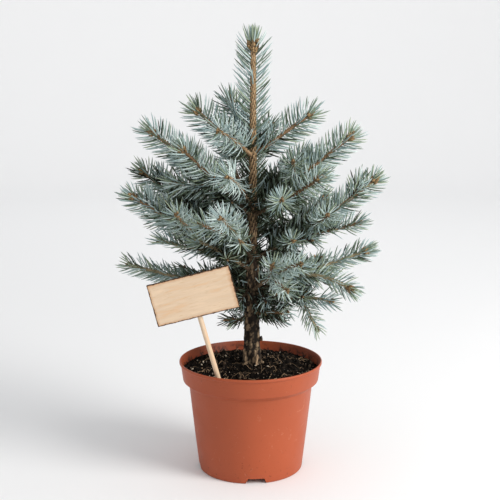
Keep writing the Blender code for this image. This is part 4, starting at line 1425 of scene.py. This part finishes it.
def needles_on(
    stem, settings, rng, first=0.0, last=None, share=1.0, spread=None, size=None, rise=None, front=None
):
    """Feet, directions, bends, lengths, widths and shades of the needles on a stem.

    first and last are distances along it, share is how many of the needles are left there, and
    front is the share left on its side towards the front. The others take the place of what the
    stem's height gives.
    """
    path = stem.path
    last = path.length if last is None else last
    heights, *columns = zip(*BY_HEIGHT)
    longer, wider, spreading, more = (np.interp(stem.height(), heights, column) for column in columns)
    rise = rise or 1 / (settings.per_metre * more * (BOUGH_NUMBER if stem.order == 0 else 1.0))
    numbers = np.arange(math.ceil(first / rise), int(last / rise))
    numbers = numbers[rng.random(len(numbers)) < share]
    at = numbers * rise
    count = len(at)
    angle = numbers * GOLDEN_ANGLE + rng.normal(0, TURN_JITTER, count)
    middle, tangent, side, other = path.at(at)
    outward = side * np.cos(angle)[:, None] + other * np.sin(angle)[:, None]
    to_end = path.length - at
    closing = 0.0 if stem.order is None else STAR_OPEN * stem.facing()
    near_bud = np.clip(1 - to_end / TIP_STRETCH, 0, 1) * (1 - closing)
    lean = (spread or settings.spread * spreading) + LEAN_UP * outward[:, 2]
    lean += rng.normal(0, LEAN_JITTER, count)
    lean = np.radians(lean + (TIP_SPREAD + rng.normal(0, TIP_LEAN_JITTER, count) - lean) * near_bud)
    directions = outward * np.sin(lean)[:, None] + tangent * np.cos(lean)[:, None]
    directions[:, 2] += LIFT * (1 - near_bud)
    directions = unit(directions + rng.normal(0, AIM_JITTER, (count, 3)))
    lengths = (size or settings.size * longer) * rng.uniform(*NEEDLE_LENGTHS, count)
    if stem.order == 1:
        lengths *= TWIG_NEEDLES.get(stem.mass, 1.0)
    lengths *= FIRST_LENGTHS[0] + FIRST_LENGTHS[1] * np.clip((at - first) / FIRST_STRETCH, 0, 1)
    lengths *= 1 - TIP_SHORTER * near_bud
    if stem.order == 2:
        lengths *= FINE_SHORTER
    feet = middle + outward * (stem.radius(at) * FOOT_DEPTH)[:, None]
    if front is None:
        parted = stem.order == 0 and abs(stem.towards_front()) < SIDE_ON
        front = COVERED.get(stem.mass, PARTED_SHARE) if parted else 1.0
    keep = (outward[:, 1] > -math.cos(FRONT_ANGLE)) | (rng.random(count) < front)
    reach = rng.uniform(*GAP_RAGGED, count)
    in_window = rng.random(count) < WINDOW_SHARE
    for part in TESTED_AT:
        places = feet + directions * (lengths * part)[:, None]
        keep &= open_space(places)
        if stem.order is not None:
            keep &= ~in_sky(places, reach) & ~(in_window & hides_trunk(places))
    bends = unit(tangent + np.array(BEND_UP))
    widths = settings.width * wider * rng.uniform(*NEEDLE_WIDTHS, count)
    widths *= WIDER_SIDE_ON - NARROWER_END_ON * np.clip(-tangent[:, 1], 0, 1)
    shades = dealt_shades(stem, middle, to_end, rng)
    return [a[keep] for a in (feet, directions, bends, lengths, widths, shades)]


def tuft_on(stem, rng):
    """The needles that stand forward round a stem's end buds, in the columns of needles_on."""
    count, size, width, out_of_stem, (least, most) = TUFTS[stem.order]
    numbers = np.arange(count)
    tip, tangent, side, other = stem.path.at(np.full(count, stem.path.length - TUFT_FROM_END))
    angle = (numbers * GOLDEN_ANGLE)[:, None]
    outward = side * np.cos(angle) + other * np.sin(angle)
    leans = least + (most - least) * (numbers / count)[:, None]
    directions = unit(tangent + outward * leans)
    lengths = size * rng.uniform(*TUFT_LENGTHS, count)
    shades = rng.choice(len(SHADES), count, p=TUFT_DEAL)
    return [tip + outward * out_of_stem, directions, tangent, lengths, np.full(count, width), shades]


def has_tuft(stem):
    """Whether needles stand forward round the stem's end buds: on strong shoots seen from the side."""
    if stem.order == 2 or stem.height() < TUFTED_FROM or abs(stem.towards_front()) >= TUFTED_FACING:
        return False
    tip = stem.path.points[-1:]
    return open_space(tip).all() and not in_sky(tip).any()


def dealt_shades(stem, middle, to_end, rng):
    """The shade of each needle, by spray: painted shade inside the crown, painted light on shoots that face
    the front, and greener round the buds.
    """
    count = len(middle)
    reach = np.linalg.norm(middle[:, :2] - np.array(CROWN_MIDDLE), axis=1)
    thin = np.interp(middle[:, 2], INNER_TOP, (1.0, 0.0))
    openness = np.clip((reach - INNER_REACH[0] * thin) / (INNER_REACH[1] * thin + 0.001), 0, 1)
    if stem.order is None:
        openness = 1 - thin
    openness = np.clip(openness + MASS_OPENNESS.get(stem.mass, 0.0), 0, 1)
    if stem.order == 2:
        openness *= np.interp(reach, FINE_OPEN_REACH, FINE_OPENNESS)
    # Shoots that face the front are dealt paler shades as painted light.
    facing = 0.0 if stem.mass in TWIG_NEEDLES else stem.facing()
    open_deal = np.array(OPEN_DEAL) * (1 - facing) + np.array(LIT_STAR_DEAL) * facing
    if stem.order is None:
        open_deal = np.array(LEADER_DEAL)
    open_deal = open_deal + np.interp(middle[:, 2], LOW_HEIGHTS, (1.0, 0.0))[:, None] * np.array(LOW_SHIFT)
    # Needles deep in the crown are dealt dark shades as painted shade.
    deal = openness[:, None] * open_deal + (1 - openness[:, None]) * np.array(INNER_SHADE_DEAL)
    least, more = TUFT_IN_SHADE
    tufted = np.clip(TUFT_FADE[0] - to_end / TUFT_FADE[1], 0, 1)[:, None] * (least + more * openness[:, None])
    deal = deal * (1 - tufted) + np.array(TIP_DEAL) * tufted
    drawn = np.repeat(rng.random(count // SPRAY + 1), SPRAY)[:count]
    drawn = (drawn + rng.normal(0, SHADE_JITTER, count)) % 1.0
    shades = (np.cumsum(deal, axis=1) / deal.sum(axis=1, keepdims=True) < drawn[:, None]).sum(axis=1)
    return np.minimum(shades, len(SHADES) - 1)


def needle_mesh(name, rows, shape):
    """All needles of one mass as one mesh, with their shades."""
    feet, directions, bends, lengths, widths, shades = (np.concatenate(column) for column in zip(*rows))
    points, faces = bent_needles(shape, feet, directions, bends, lengths, widths)
    return joined_mesh(name, [(points, faces, np.repeat(shades, len(shape[1])))])


def peg_shape():
    """The woody peg under a needle, from z 0 to 1."""
    bm = bmesh.new()
    standing_cone(bm, PEG_SIDES, 1, PEG_TAPER)
    return arrays_of(bm)


def bud_shape():
    """A pointed bud in rings of overlapping scales, from z 0 to 1."""
    bm = bmesh.new()
    bmesh.ops.create_icosphere(bm, subdivisions=1, radius=1, matrix=Matrix.Diagonal((*BUD_CORE, 1)))
    bmesh.ops.translate(bm, vec=(0, 0, BUD_CORE[2]), verts=bm.verts[:])
    for ring, (height, radius, lean, size) in enumerate(BUD_RINGS):
        for k in range(BUD_SCALES):
            scale = standing_cone(bm, 3, *SCALE_RADII, size)
            turn = Matrix.Rotation(math.tau * (k + 0.5 * (ring % 2)) / BUD_SCALES, 4, "Z")
            tilt = Matrix.Rotation(math.radians(lean), 4, "Y")
            flat = Matrix.Diagonal((*SCALE_FLATNESS, 1, 1))
            place = turn @ Matrix.Translation((radius, 0, height)) @ tilt @ flat
            bmesh.ops.transform(bm, matrix=place, verts=scale)
    return arrays_of(bm)


def aligned(directions, rng):
    """Matrices whose third column is each direction, turned at random about it."""
    any_way = rng.normal(size=directions.shape)
    side = unit(np.cross(directions, any_way))
    other = np.cross(directions, side)
    return np.stack([side, other, directions], -1)


def pegs_under(rows, rng, shape):
    """A peg for every needle of a mass."""
    feet, directions, bends, _, widths, _ = (np.concatenate(column) for column in zip(*rows))
    directions = unit(directions + PEG_LEAN * bends)
    sizes = np.stack([widths * PEG_WIDTH, widths * PEG_WIDTH, np.full(len(feet), PEG_LENGTH)], -1)
    turns = aligned(directions, rng) * sizes[:, None, :]
    return copies(shape, feet - directions * PEG_SUNK, turns)


def buds_at(stem, rng, shape):
    """A terminal bud and the smaller ones round it, with a tone for each scale."""
    tip, tangent, side, other = stem.path.at(np.array([stem.path.length]))
    order = stem.order
    if order == 0 and stem.path.length < SHORT_BOUGH:
        order = 2
    elif order == 0 and (stem.height() < TUFTED_FROM or stem.towards_front() > SMALL_BUD_FACING):
        order = 1
    width, height, around = BUD_SIZES[order]
    directions, places, sizes = [tangent[0]], [tip[0]], [(width, width, height)]
    first = rng.uniform(0, math.tau)
    for i in range(around):
        turn = first + GOLDEN_ANGLE * i + rng.normal(0, SIDE_BUD_JITTER)
        out = side[0] * math.cos(turn) + other[0] * math.sin(turn)
        directions.append(unit(tangent[0] + out * rng.uniform(*SIDE_BUD_LEAN)))
        down = rng.uniform(*SIDE_BUD_DOWN) + SIDE_BUD_ROW * i / around
        places.append(tip[0] - tangent[0] * down * width + out * SIDE_BUD_OUT * width)
        size = rng.uniform(*SIDE_BUD_SIZE)
        sizes.append((width * size, width * size, height * size))
    turns = aligned(np.array(directions), rng) * np.array(sizes)[:, None, :]
    points, faces = copies(shape, np.array(places) - np.array(directions) * BUD_SUNK, turns)
    tones = rng.integers(0, len(BUD_TONES), len(faces) // BUD_FACES + 1)
    return points, faces, np.repeat(tones, BUD_FACES)[: len(faces)]


# ---------------------------------------------------------------- compost


def soil_height(x, y):
    """The compost's surface at a place, without its lumps."""
    return np.interp(np.hypot(x, y), [r for r, _ in SOIL_SURFACE], [h for _, h in SOIL_SURFACE])


def soil_lump(x, y, height):
    """How far the lumps raise the surface at a place."""
    place = Vector((x, y, 0.0))
    big = noise.fractal(place * BIG_LUMPS[0], 0.8, 2.0, 3)
    small = noise.fractal(place * SMALL_LUMPS[0] + Vector((5, 2, 1)), 0.9, 2.2, 3)
    inside = clamped((SOIL_EDGE - math.hypot(x, y)) / LUMP_FADE)
    kept = LUMPS_AT_WALL + (1 - LUMPS_AT_WALL) * inside
    return height * (BIG_LUMPS[1] * big * kept + SMALL_LUMPS[1] * small)


def make_soil(settings):
    """A lumpy round sheet over a plain body that fills the pot."""
    bm = bmesh.new()
    bmesh.ops.create_grid(bm, x_segments=SOIL_CELLS, y_segments=SOIL_CELLS, size=SOIL_EDGE)
    out = [v for v in bm.verts if math.hypot(v.co.x, v.co.y) > SOIL_EDGE]
    bmesh.ops.delete(bm, geom=out, context="VERTS")
    for vert in bm.verts:
        if vert.is_boundary:
            vert.co.x, vert.co.y = vert.co.xy.normalized() * SOIL_EDGE
        x, y, _ = vert.co
        vert.co.z = float(soil_height(x, y)) + soil_lump(x, y, settings.lump)
    rim = [e for e in bm.edges if e.is_boundary]
    low = BASE_RECESS + BASE_THICKNESS + LABEL_GAP
    levels = (
        (COLLAR_FOOT_HEIGHT + 0.0012, COLLAR_FOOT_RADIUS - WALL - 0.0006),
        (BODY_TOP_HEIGHT, BODY_TOP_RADIUS - WALL - 0.0006),
        (low, FOOT_RADIUS - WALL - 0.0004),
    )
    for height, radius in levels:
        made = bmesh.ops.extrude_edge_only(bm, edges=rim)["geom"]
        rim = [g for g in made if isinstance(g, bmesh.types.BMEdge)]
        for vert in {v for e in rim for v in e.verts}:
            flat = vert.co.xy.normalized() * radius
            vert.co = (flat.x, flat.y, height)
    bmesh.ops.holes_fill(bm, edges=rim, sides=0)
    return mesh_of("compost", bm)


def on_soil(count, rng, margin=0.002, inner=0.0):
    """Random places on the compost's surface."""
    reach = np.sqrt(rng.uniform(inner**2, (SOIL_EDGE - margin) ** 2, count))
    angle = rng.uniform(0, math.tau, count)
    x, y = reach * np.cos(angle), reach * np.sin(angle)
    return np.stack([x, y, soil_height(x, y)], -1)


def crumb_shape(seed, fine, rough):
    """An uneven lump about one unit across."""
    bm = bmesh.new()
    bmesh.ops.create_icosphere(bm, subdivisions=2 if fine else 1, radius=0.5)
    for vert in bm.verts:
        vert.co *= 1 + rough * noise.noise(vert.co * CRUMB_FORM + Vector((seed, 0, 0)))
    return arrays_of(bm)


def lumps_at(places, settings):
    """How far the lumps raise the surface at some places."""
    return np.array([soil_lump(x, y, settings.lump) for x, y, _ in places])


def make_crumbs(settings, rng):
    """Rounded crumbs of compost, the first kind large and in finer form."""
    parts = []
    for k in range(CRUMB_KINDS):
        count = settings.crumbs // CRUMB_KINDS
        shape = crumb_shape(10 + k, k == 0, CRUMB_ROUGHNESS)
        size = rng.uniform(*CRUMB_SIZES[min(k, 1)], count)
        squash = rng.uniform(*CRUMB_SQUASH, (count, 3)) * size[:, None]
        places = on_soil(count, rng)
        places[:, 2] += lumps_at(places, settings) + size * rng.uniform(*CRUMB_RISE, count)
        points, faces = copies(shape, places, any_turns(count, rng) * squash[:, None, :])
        dealt = np.repeat(rng.choice(len(CRUMB_DEAL), count, p=CRUMB_DEAL), len(shape[1]))
        parts.append((points, faces, dealt))
    return joined_mesh("compost_crumbs", parts)


def make_chips(settings, rng):
    """Pale flat chips and grains."""
    parts = []
    for k in range(CHIP_KINDS):
        count = settings.chips // CHIP_KINDS
        shape = crumb_shape(30 + k, False, CHIP_ROUGHNESS)
        size = CHIP_SIZES[0] + CHIP_SIZES[1] * rng.random(count) ** 2.5
        width = size * rng.uniform(*CHIP_WIDTH, count)
        flat = np.stack([size, width, size * rng.uniform(*CHIP_FLATNESS, count)], -1)
        places = on_soil(count, rng, *CHIP_REACH)
        places[:, 2] += lumps_at(places, settings) + size * CHIP_RISE
        points, faces = copies(shape, places, any_turns(count, rng) * flat[:, None, :])
        dealt = np.repeat(rng.integers(0, len(CHIP_TONES), count), len(shape[1]))
        parts.append((points, faces, dealt))
    return joined_mesh("compost_chips", parts)


def make_fibres(settings, rng):
    """Fine roots and straws that lie on the compost in loose curves."""
    parts = []
    edge = SOIL_EDGE - FIBRE_MARGIN
    for _ in range(settings.fibres):
        x, y, _ = on_soil(1, rng, *FIBRE_REACH)[0]
        heading, turn = rng.uniform(0, math.tau), rng.normal(0, FIBRE_BEND)
        size = rng.uniform(*FIBRE_LENGTH)
        points, radius = [], rng.uniform(*FIBRE_RADIUS)
        for i in range(FIBRE_STEPS + 1):
            hump = FIBRE_ARCH * math.sin(math.pi * (i / FIBRE_STEPS)) * rng.uniform(*FIBRE_ARCHES)
            reach = math.hypot(x, y)
            if reach > edge:
                x, y = x * edge / reach, y * edge / reach
            z = float(soil_height(x, y)) + soil_lump(x, y, settings.lump) + radius + hump
            points.append((x, y, z))
            x += math.cos(heading) * size / FIBRE_STEPS
            y += math.sin(heading) * size / FIBRE_STEPS
            heading += turn * size / FIBRE_STEPS + rng.normal(0, FIBRE_JITTER)
        radii = np.linspace(radius, radius * FIBRE_TAPER, FIBRE_STEPS + 1)
        tone = int(rng.integers(0, len(FIBRE_TONES)))
        parts.append((*tube_arrays(Path(points), radii, FIBRE_SIDES), tone))
    top, foot, top_radius, foot_radius = TORN_ROOT
    points = [
        Vector(top).lerp(Vector(foot), i / TORN_STEPS) + Vector((TORN_BEND * math.sin(i), 0, 0))
        for i in range(TORN_STEPS + 1)
    ]
    radii = np.linspace(foot_radius, top_radius, TORN_STEPS + 1)
    parts.append((*tube_arrays(Path(points), radii, TORN_SIDES), 0))
    return joined_mesh("compost_fibres", parts)


# ---------------------------------------------------------------- pot


def notch_cutter(angle):
    """A block with sloping sides that cuts one drain notch through the foot of the wall."""
    bm = bmesh.new()
    size = Matrix.Diagonal((NOTCH_DEPTH, NOTCH_TOP_WIDTH, 2 * NOTCH_HEIGHT, 1))
    verts = bmesh.ops.create_cube(bm, size=1.0, matrix=size)["verts"]
    for vert in verts:
        if vert.co.z < 0:
            vert.co.y *= 2 * NOTCH_FOOT_WIDTH / NOTCH_TOP_WIDTH - 1
    place = Matrix.Rotation(math.radians(angle), 4, "Z") @ Matrix.Translation((FOOT_RADIUS, 0, 0))
    bmesh.ops.transform(bm, matrix=place, verts=verts)
    return linked("notch", mesh_of("notch", bm))


def drain_cutter(angle):
    """A round bar that cuts one drain hole through the base."""
    bm = bmesh.new()
    turn = Matrix.Rotation(math.radians(angle), 4, "Z")
    bmesh.ops.create_cone(
        bm, cap_ends=True, segments=DRAIN_SIDES, radius1=DRAIN_RADIUS, radius2=DRAIN_RADIUS,
        depth=2 * BASE_RECESS, matrix=turn @ Matrix.Translation((DRAIN_CIRCLE, 0, BASE_RECESS)),
    )
    return linked("drain", mesh_of("drain", bm))


def make_pot():
    """The pot's turned wall with its rolled lip, cut by drain notches and holes."""
    base_top = BASE_RECESS + BASE_THICKNESS
    low = FOOT_RADIUS - 0.0012
    profile = [
        (0.0, BASE_RECESS),
        (low - 0.0042, BASE_RECESS),
        (low - 0.0034, 0.0020),
        (low - 0.0028, 0.0),
        (low - 0.0006, 0.0),
        (low, 0.0003),
        (low + 0.0009, 0.0014),
        (FOOT_RADIUS, 0.0030),
        (FOOT_RADIUS + 0.0048, 0.0440),
        (FOOT_RADIUS + 0.0092, 0.0840),
        (BODY_TOP_RADIUS, BODY_TOP_HEIGHT - 0.0010),
        (BODY_TOP_RADIUS + 0.0006, BODY_TOP_HEIGHT),
        (COLLAR_FOOT_RADIUS - 0.0012, COLLAR_FOOT_HEIGHT - 0.0008),
        (COLLAR_FOOT_RADIUS - 0.0002, COLLAR_FOOT_HEIGHT),
        (COLLAR_FOOT_RADIUS + 0.0002, COLLAR_FOOT_HEIGHT + 0.0010),
        (0.0931, 0.1425),
        (0.0934, 0.1433),
        (0.0945, 0.1440),
        (0.0950, 0.1449),
        (0.0951, 0.1465),
        (0.0947, 0.1476),
        (0.0940, POT_HEIGHT),
        (0.0934, 0.1478),
        (0.0930, 0.1470),
        (0.0924, 0.1430),
        (COLLAR_FOOT_RADIUS - WALL, COLLAR_FOOT_HEIGHT + INNER_GAP),
        (BODY_TOP_RADIUS - WALL, BODY_TOP_HEIGHT + INNER_GAP),
        (FOOT_RADIUS - WALL + 0.0004, base_top),
        (0.0, base_top),
    ]
    pot = linked("pot_wall", turned("pot_wall", profile, POT_SIDES))
    group = bpy.data.collections.new("pot_cuts")
    cutters = [notch_cutter(NOTCH_FIRST_ANGLE + 360 / NOTCHES * i) for i in range(NOTCHES)]
    cutters += [drain_cutter(NOTCH_FIRST_ANGLE + 360 / DRAIN_HOLES * i) for i in range(DRAIN_HOLES)]
    for tool in cutters:
        group.objects.link(tool)
    modifier = pot.modifiers.new("Cuts", "BOOLEAN")
    modifier.operation = "DIFFERENCE"
    modifier.solver = "MANIFOLD"
    modifier.operand_type = "COLLECTION"
    modifier.collection = group
    bpy.context.view_layer.update()
    cut = bpy.data.meshes.new_from_object(pot.evaluated_get(bpy.context.evaluated_depsgraph_get()))
    cut.materials.clear()
    for obj in [pot, *cutters]:
        bpy.data.objects.remove(obj, do_unlink=True)
    bpy.data.collections.remove(group)
    return cut


# ---------------------------------------------------------------- label


def label_frame():
    """The plate's middle and its axes: right, up the stick, and towards the front."""
    lean, forward = math.radians(LABEL_LEAN), math.radians(LABEL_FORWARD_LEAN)
    up = Vector((-math.sin(lean), -math.sin(forward), math.cos(lean))).normalized()
    right = Vector((0, 1, 0)).cross(up).normalized()
    front = right.cross(up)
    middle = STICK_FOOT + up * PLATE_UP_STICK + front * (STICK_RADIUS + LABEL_GAP + PLATE_SIZE[2] / 2)
    return middle, right, up, front


def make_plate():
    """A thin board with softened, slightly uneven burnt edges."""
    turn, middle = label_turn()
    bm = bmesh.new()
    bmesh.ops.create_cube(bm, size=1.0, matrix=Matrix.Diagonal((*PLATE_SIZE, 1)))
    for axis, cuts in enumerate(PLATE_CUTS):
        sides = [e for e in bm.edges if abs(e.verts[0].co[axis] - e.verts[1].co[axis]) > 0.01]
        bmesh.ops.subdivide_edges(bm, edges=sides, cuts=cuts, use_grid_fill=True)
    for vert in bm.verts:
        for axis in (0, 1):
            if abs(abs(vert.co[axis]) - PLATE_SIZE[axis] / 2) < 1e-5:
                ragged = noise.fractal(vert.co * PLATE_RAGGED, 0.8, 2.0, 3)
                vert.co[axis] -= math.copysign(PLATE_WEAR * (1 + ragged), vert.co[axis])
    sharp = [e for e in bm.edges if e.is_manifold and e.calc_face_angle() > math.radians(60)]
    bmesh.ops.bevel(
        bm, geom=sharp, offset=PLATE_WEAR, segments=2, affect="EDGES", profile=0.5, material=-1
    )
    bmesh.ops.transform(bm, matrix=Matrix.Translation(middle) @ turn.to_4x4(), verts=bm.verts)
    return mesh_of("plate", bm)


def make_stick():
    """A round dowel, pointed below and softened at its top."""
    _, _, up, _ = label_frame()
    point = ((0.0, STICK_POINT_RADIUS), (STICK_POINT_LENGTH, STICK_RADIUS))
    places = [STICK_LENGTH * i / STICK_RINGS for i in range(STICK_RINGS)]
    rows = [(place, interpolate(point, place)) for place in places]
    rows += [(STICK_LENGTH - below, STICK_RADIUS * share) for below, share in STICK_TOP]
    bm = bmesh.new()
    path = Path([STICK_FOOT + up * place for place, _ in rows])
    simple_tube(bm, path, [radius for _, radius in rows], STICK_SIDES)
    return mesh_of("stick", bm)


# ---------------------------------------------------------------- operators


class SPRUCE_OT_stage(bpy.types.Operator):
    """Adds the floor and backdrop, the soft lights and the camera"""

    bl_idname = "spruce.stage"
    bl_label = "Add stage"

    def execute(self, context):
        scene = context.scene
        settings = scene.spruce_stage
        wall = [
            (FLOOR_RADIUS + WALL_CURVE * math.sin(a), WALL_CURVE - WALL_CURVE * math.cos(a))
            for a in np.linspace(0, math.pi / 2, WALL_STEPS)
        ]
        profile = [(0.0, 0.0), *wall, (FLOOR_RADIUS + WALL_CURVE, WALL_TOP)]
        dish = turned("backdrop", profile, WALL_SIDES)
        dish.flip_normals()
        dish.shade_smooth()
        dish.materials.append(plain("Backdrop", tuple(settings.floor), 0.9, 0.1))
        linked("backdrop", dish)
        self.light("Key", settings.key, *KEY_LIGHT)
        self.light("Back", settings.back, *BACK_LIGHT)
        world = bpy.data.worlds.new("Studio")
        world.use_nodes = True
        sky = world.node_tree.nodes["Background"]
        sky.inputs["Color"].default_value = (*SKY_COLOUR, 1)
        sky.inputs["Strength"].default_value = settings.sky
        scene.world = world
        camera = linked("camera", bpy.data.cameras.new("camera"))
        camera.location = CAMERA_PLACE
        camera.rotation_euler = (math.radians(CAMERA_TILT), 0, 0)
        camera.data.lens = CAMERA_LENS
        scene.camera = camera
        scene.view_settings.view_transform = "Standard"
        return {"FINISHED"}

    @staticmethod
    def light(name, power, place, target, size, tint):
        """Adds a round soft light that points at its target and isn't seen itself."""
        lamp = bpy.data.lights.new(name, "AREA")
        lamp.shape, lamp.size, lamp.energy, lamp.color = "DISK", size, power, tint
        obj = linked(name, lamp)
        obj.location = place
        obj.rotation_euler = (Vector(target) - Vector(place)).to_track_quat("-Z", "Y").to_euler()
        obj.visible_camera = False


class SPRUCE_OT_pot(bpy.types.Operator):
    """Adds the nursery pot"""

    bl_idname = "spruce.pot"
    bl_label = "Add pot"

    def execute(self, context):
        finish = plastic_finish(context.scene.spruce_pot)
        add_piece("pot_wall", make_pot(), [finish], ["pot"], smooth_angle=30)
        return {"FINISHED"}


class SPRUCE_OT_compost(bpy.types.Operator):
    """Adds the compost with its crumbs, chips and fibres"""

    bl_idname = "spruce.compost"
    bl_label = "Add compost"

    def execute(self, context):
        settings = context.scene.spruce_compost
        rng = np.random.default_rng(SEED)
        finish = peat_finish(settings)
        add_piece("compost_bed", make_soil(settings), [finish], ["soil"], smooth_angle=60)
        finishes = toned("Crumbs", settings.crumb, CRUMB_TONES, 0.9, 0.12)
        add_piece("compost_crumbs", make_crumbs(settings, rng), finishes)
        finishes = toned("Chips", settings.chip, CHIP_TONES, 0.8, 0.3)
        add_piece("compost_chips", make_chips(settings, rng), finishes)
        finishes = toned("Fibres", settings.straw, FIBRE_TONES, 0.8, 0.3)
        add_piece("compost_fibres", make_fibres(settings, rng), finishes)
        return {"FINISHED"}


class SPRUCE_OT_wood(bpy.types.Operator):
    """Adds the bark of the trunk and boughs"""

    bl_idname = "spruce.wood"
    bl_label = "Add trunk and boughs"

    def execute(self, context):
        settings = context.scene.spruce_bark
        noise.seed_set(SEED)  # noise_vector has a new offset each session otherwise
        finish = bark_finish(settings)
        limbs, _ = grow_plan()
        add_piece("trunk_bark", make_trunk(settings), [finish], ["trunk"], smooth_angle=50)
        nodes = [f"bough_{name}" for name in limbs]
        add_piece("bough_bark", make_boughs(limbs), [finish], nodes, smooth_angle=50)
        return {"FINISHED"}


class SPRUCE_OT_foliage(bpy.types.Operator):
    """Adds the twigs, buds and needles of every mass, the leader and the trunk"""

    bl_idname = "spruce.foliage"
    bl_label = "Add foliage"

    def execute(self, context):
        needles, bark = context.scene.spruce_needles, context.scene.spruce_bark
        glosses = [DARK_GLOSS if name in DARK_SHADES else NEEDLE_GLOSS for name in SHADES]
        shades = [
            plain(f"Needles {name}", tuple(getattr(needles, name)), 0.55, gloss)
            for name, gloss in zip(SHADES, glosses)
        ]
        woods = [plain(f"Twig {name}", tuple(getattr(bark, name)), 0.8, 0.3) for name in TWIG_TONES]
        shape, peg, bud = needle_shape(), peg_shape(), bud_shape()
        rng = np.random.default_rng(SEED)
        limbs, stems = grow_plan()
        buds = []

        def add_sprays(mass, rows):
            """Adds the needles of one mass in place of its node."""
            name = f"sprays_{mass}"
            add_piece(name, needle_mesh(name, rows, shape), shades, [f"needles_{mass}"])

        for mass in dict.fromkeys(stem.mass for stem in stems):
            mine = [stem for stem in stems if stem.mass == mass]
            rows = [needles_on(stem, needles, rng) for stem in mine]
            tufts = [tuft_on(stem, rng) for stem in mine if has_tuft(stem)]
            if mass in limbs:
                limb = Stem(mass, limbs[mass].points, BOUGH_RADIUS, 2)
                rows.append(needles_on(limb, needles, rng, share=LIMB_SHARE, spread=LIMB_SPREAD))
            add_sprays(mass, rows + tufts)
            parts = []
            for stem, row in zip(mine, rows):
                tone = STEM_TONES.get(mass, USUAL_TONE) if stem.order < 2 else DARKEST
                radii = stem.radius(stem.path.place)
                parts.append((*tube_arrays(stem.path, radii, TWIG_SIDES), tone))
                points, faces = pegs_under([row], rng, peg)
                change = rng.choice(len(PEG_DEAL), len(faces) // len(peg[1]), p=PEG_DEAL) - 1
                tones = np.clip(tone + change, 0, DARKEST)
                parts.append((points, faces, np.repeat(tones, len(peg[1]))))
                buds.append(buds_at(stem, rng, bud))
            add_piece(f"twigs_{mass}", joined_mesh(f"twigs_{mass}", parts), woods)

        trunk = Leader()
        masses = {}
        for mass, first, last, share, spread, size, front in TRUNK_NEEDLES:
            last = None if last is None else last - trunk.low
            row = needles_on(
                trunk, needles, rng, first - trunk.low, last, share, spread, size, LEADER_RISE, front
            )
            masses.setdefault(mass, []).append(row)
            if last is None:
                masses[mass].append(tuft_on(trunk, rng))
        pegs = []
        for mass, rows in masses.items():
            add_sprays(mass, rows)
            pegs.append((*pegs_under(rows, rng, peg), 0))
        add_piece("trunk_pegs", joined_mesh("trunk_pegs", pegs), woods)
        buds.append(buds_at(trunk, rng, bud))
        finishes = toned("Bud", bark.bud, BUD_TONES, 0.6, 0.4)
        add_piece("buds", joined_mesh("buds", buds), finishes)
        return {"FINISHED"}


class SPRUCE_OT_label(bpy.types.Operator):
    """Adds the bare label and its stick"""

    bl_idname = "spruce.label"
    bl_label = "Add label"

    def execute(self, context):
        settings = context.scene.spruce_label
        plate = wood_finish("Label plywood", settings, True)
        stick = wood_finish("Label dowel", settings, False)
        add_piece("plate", make_plate(), [plate], ["label_plate"], smooth_angle=40)
        add_piece("stick", make_stick(), [stick], ["label_stick"], smooth_angle=40)
        return {"FINISHED"}


OPERATORS = (
    SPRUCE_OT_stage,
    SPRUCE_OT_pot,
    SPRUCE_OT_compost,
    SPRUCE_OT_wood,
    SPRUCE_OT_foliage,
    SPRUCE_OT_label,
)


class SPRUCE_PT_panel(bpy.types.Panel):
    """Shows the settings of each part and a button that adds it"""

    bl_idname = "SPRUCE_PT_panel"
    bl_label = "Potted blue spruce"
    bl_space_type = "VIEW_3D"
    bl_region_type = "UI"
    bl_category = "Spruce"

    def draw(self, context):
        for name, group in SETTINGS.items():
            box = self.layout.box()
            for key in group.__annotations__:
                box.prop(getattr(context.scene, name), key)
        for operator in OPERATORS:
            self.layout.operator(operator.bl_idname)


def register():
    """Registers the settings, the operators and the panel."""
    for group in (*SETTINGS.values(), *OPERATORS, SPRUCE_PT_panel):
        bpy.utils.register_class(group)
    for name, group in SETTINGS.items():
        setattr(bpy.types.Scene, name, PointerProperty(type=group))


def unregister():
    """Takes the add-on out again."""
    for name in SETTINGS:
        delattr(bpy.types.Scene, name)
    for group in reversed((*SETTINGS.values(), *OPERATORS, SPRUCE_PT_panel)):
        bpy.utils.unregister_class(group)


def main():
    """Adds the stage and all pieces."""
    register()
    bpy.ops.spruce.stage()
    bpy.ops.spruce.pot()
    bpy.ops.spruce.compost()
    bpy.ops.spruce.wood()
    bpy.ops.spruce.foliage()
    bpy.ops.spruce.label()


if __name__ == "__main__":
    main()
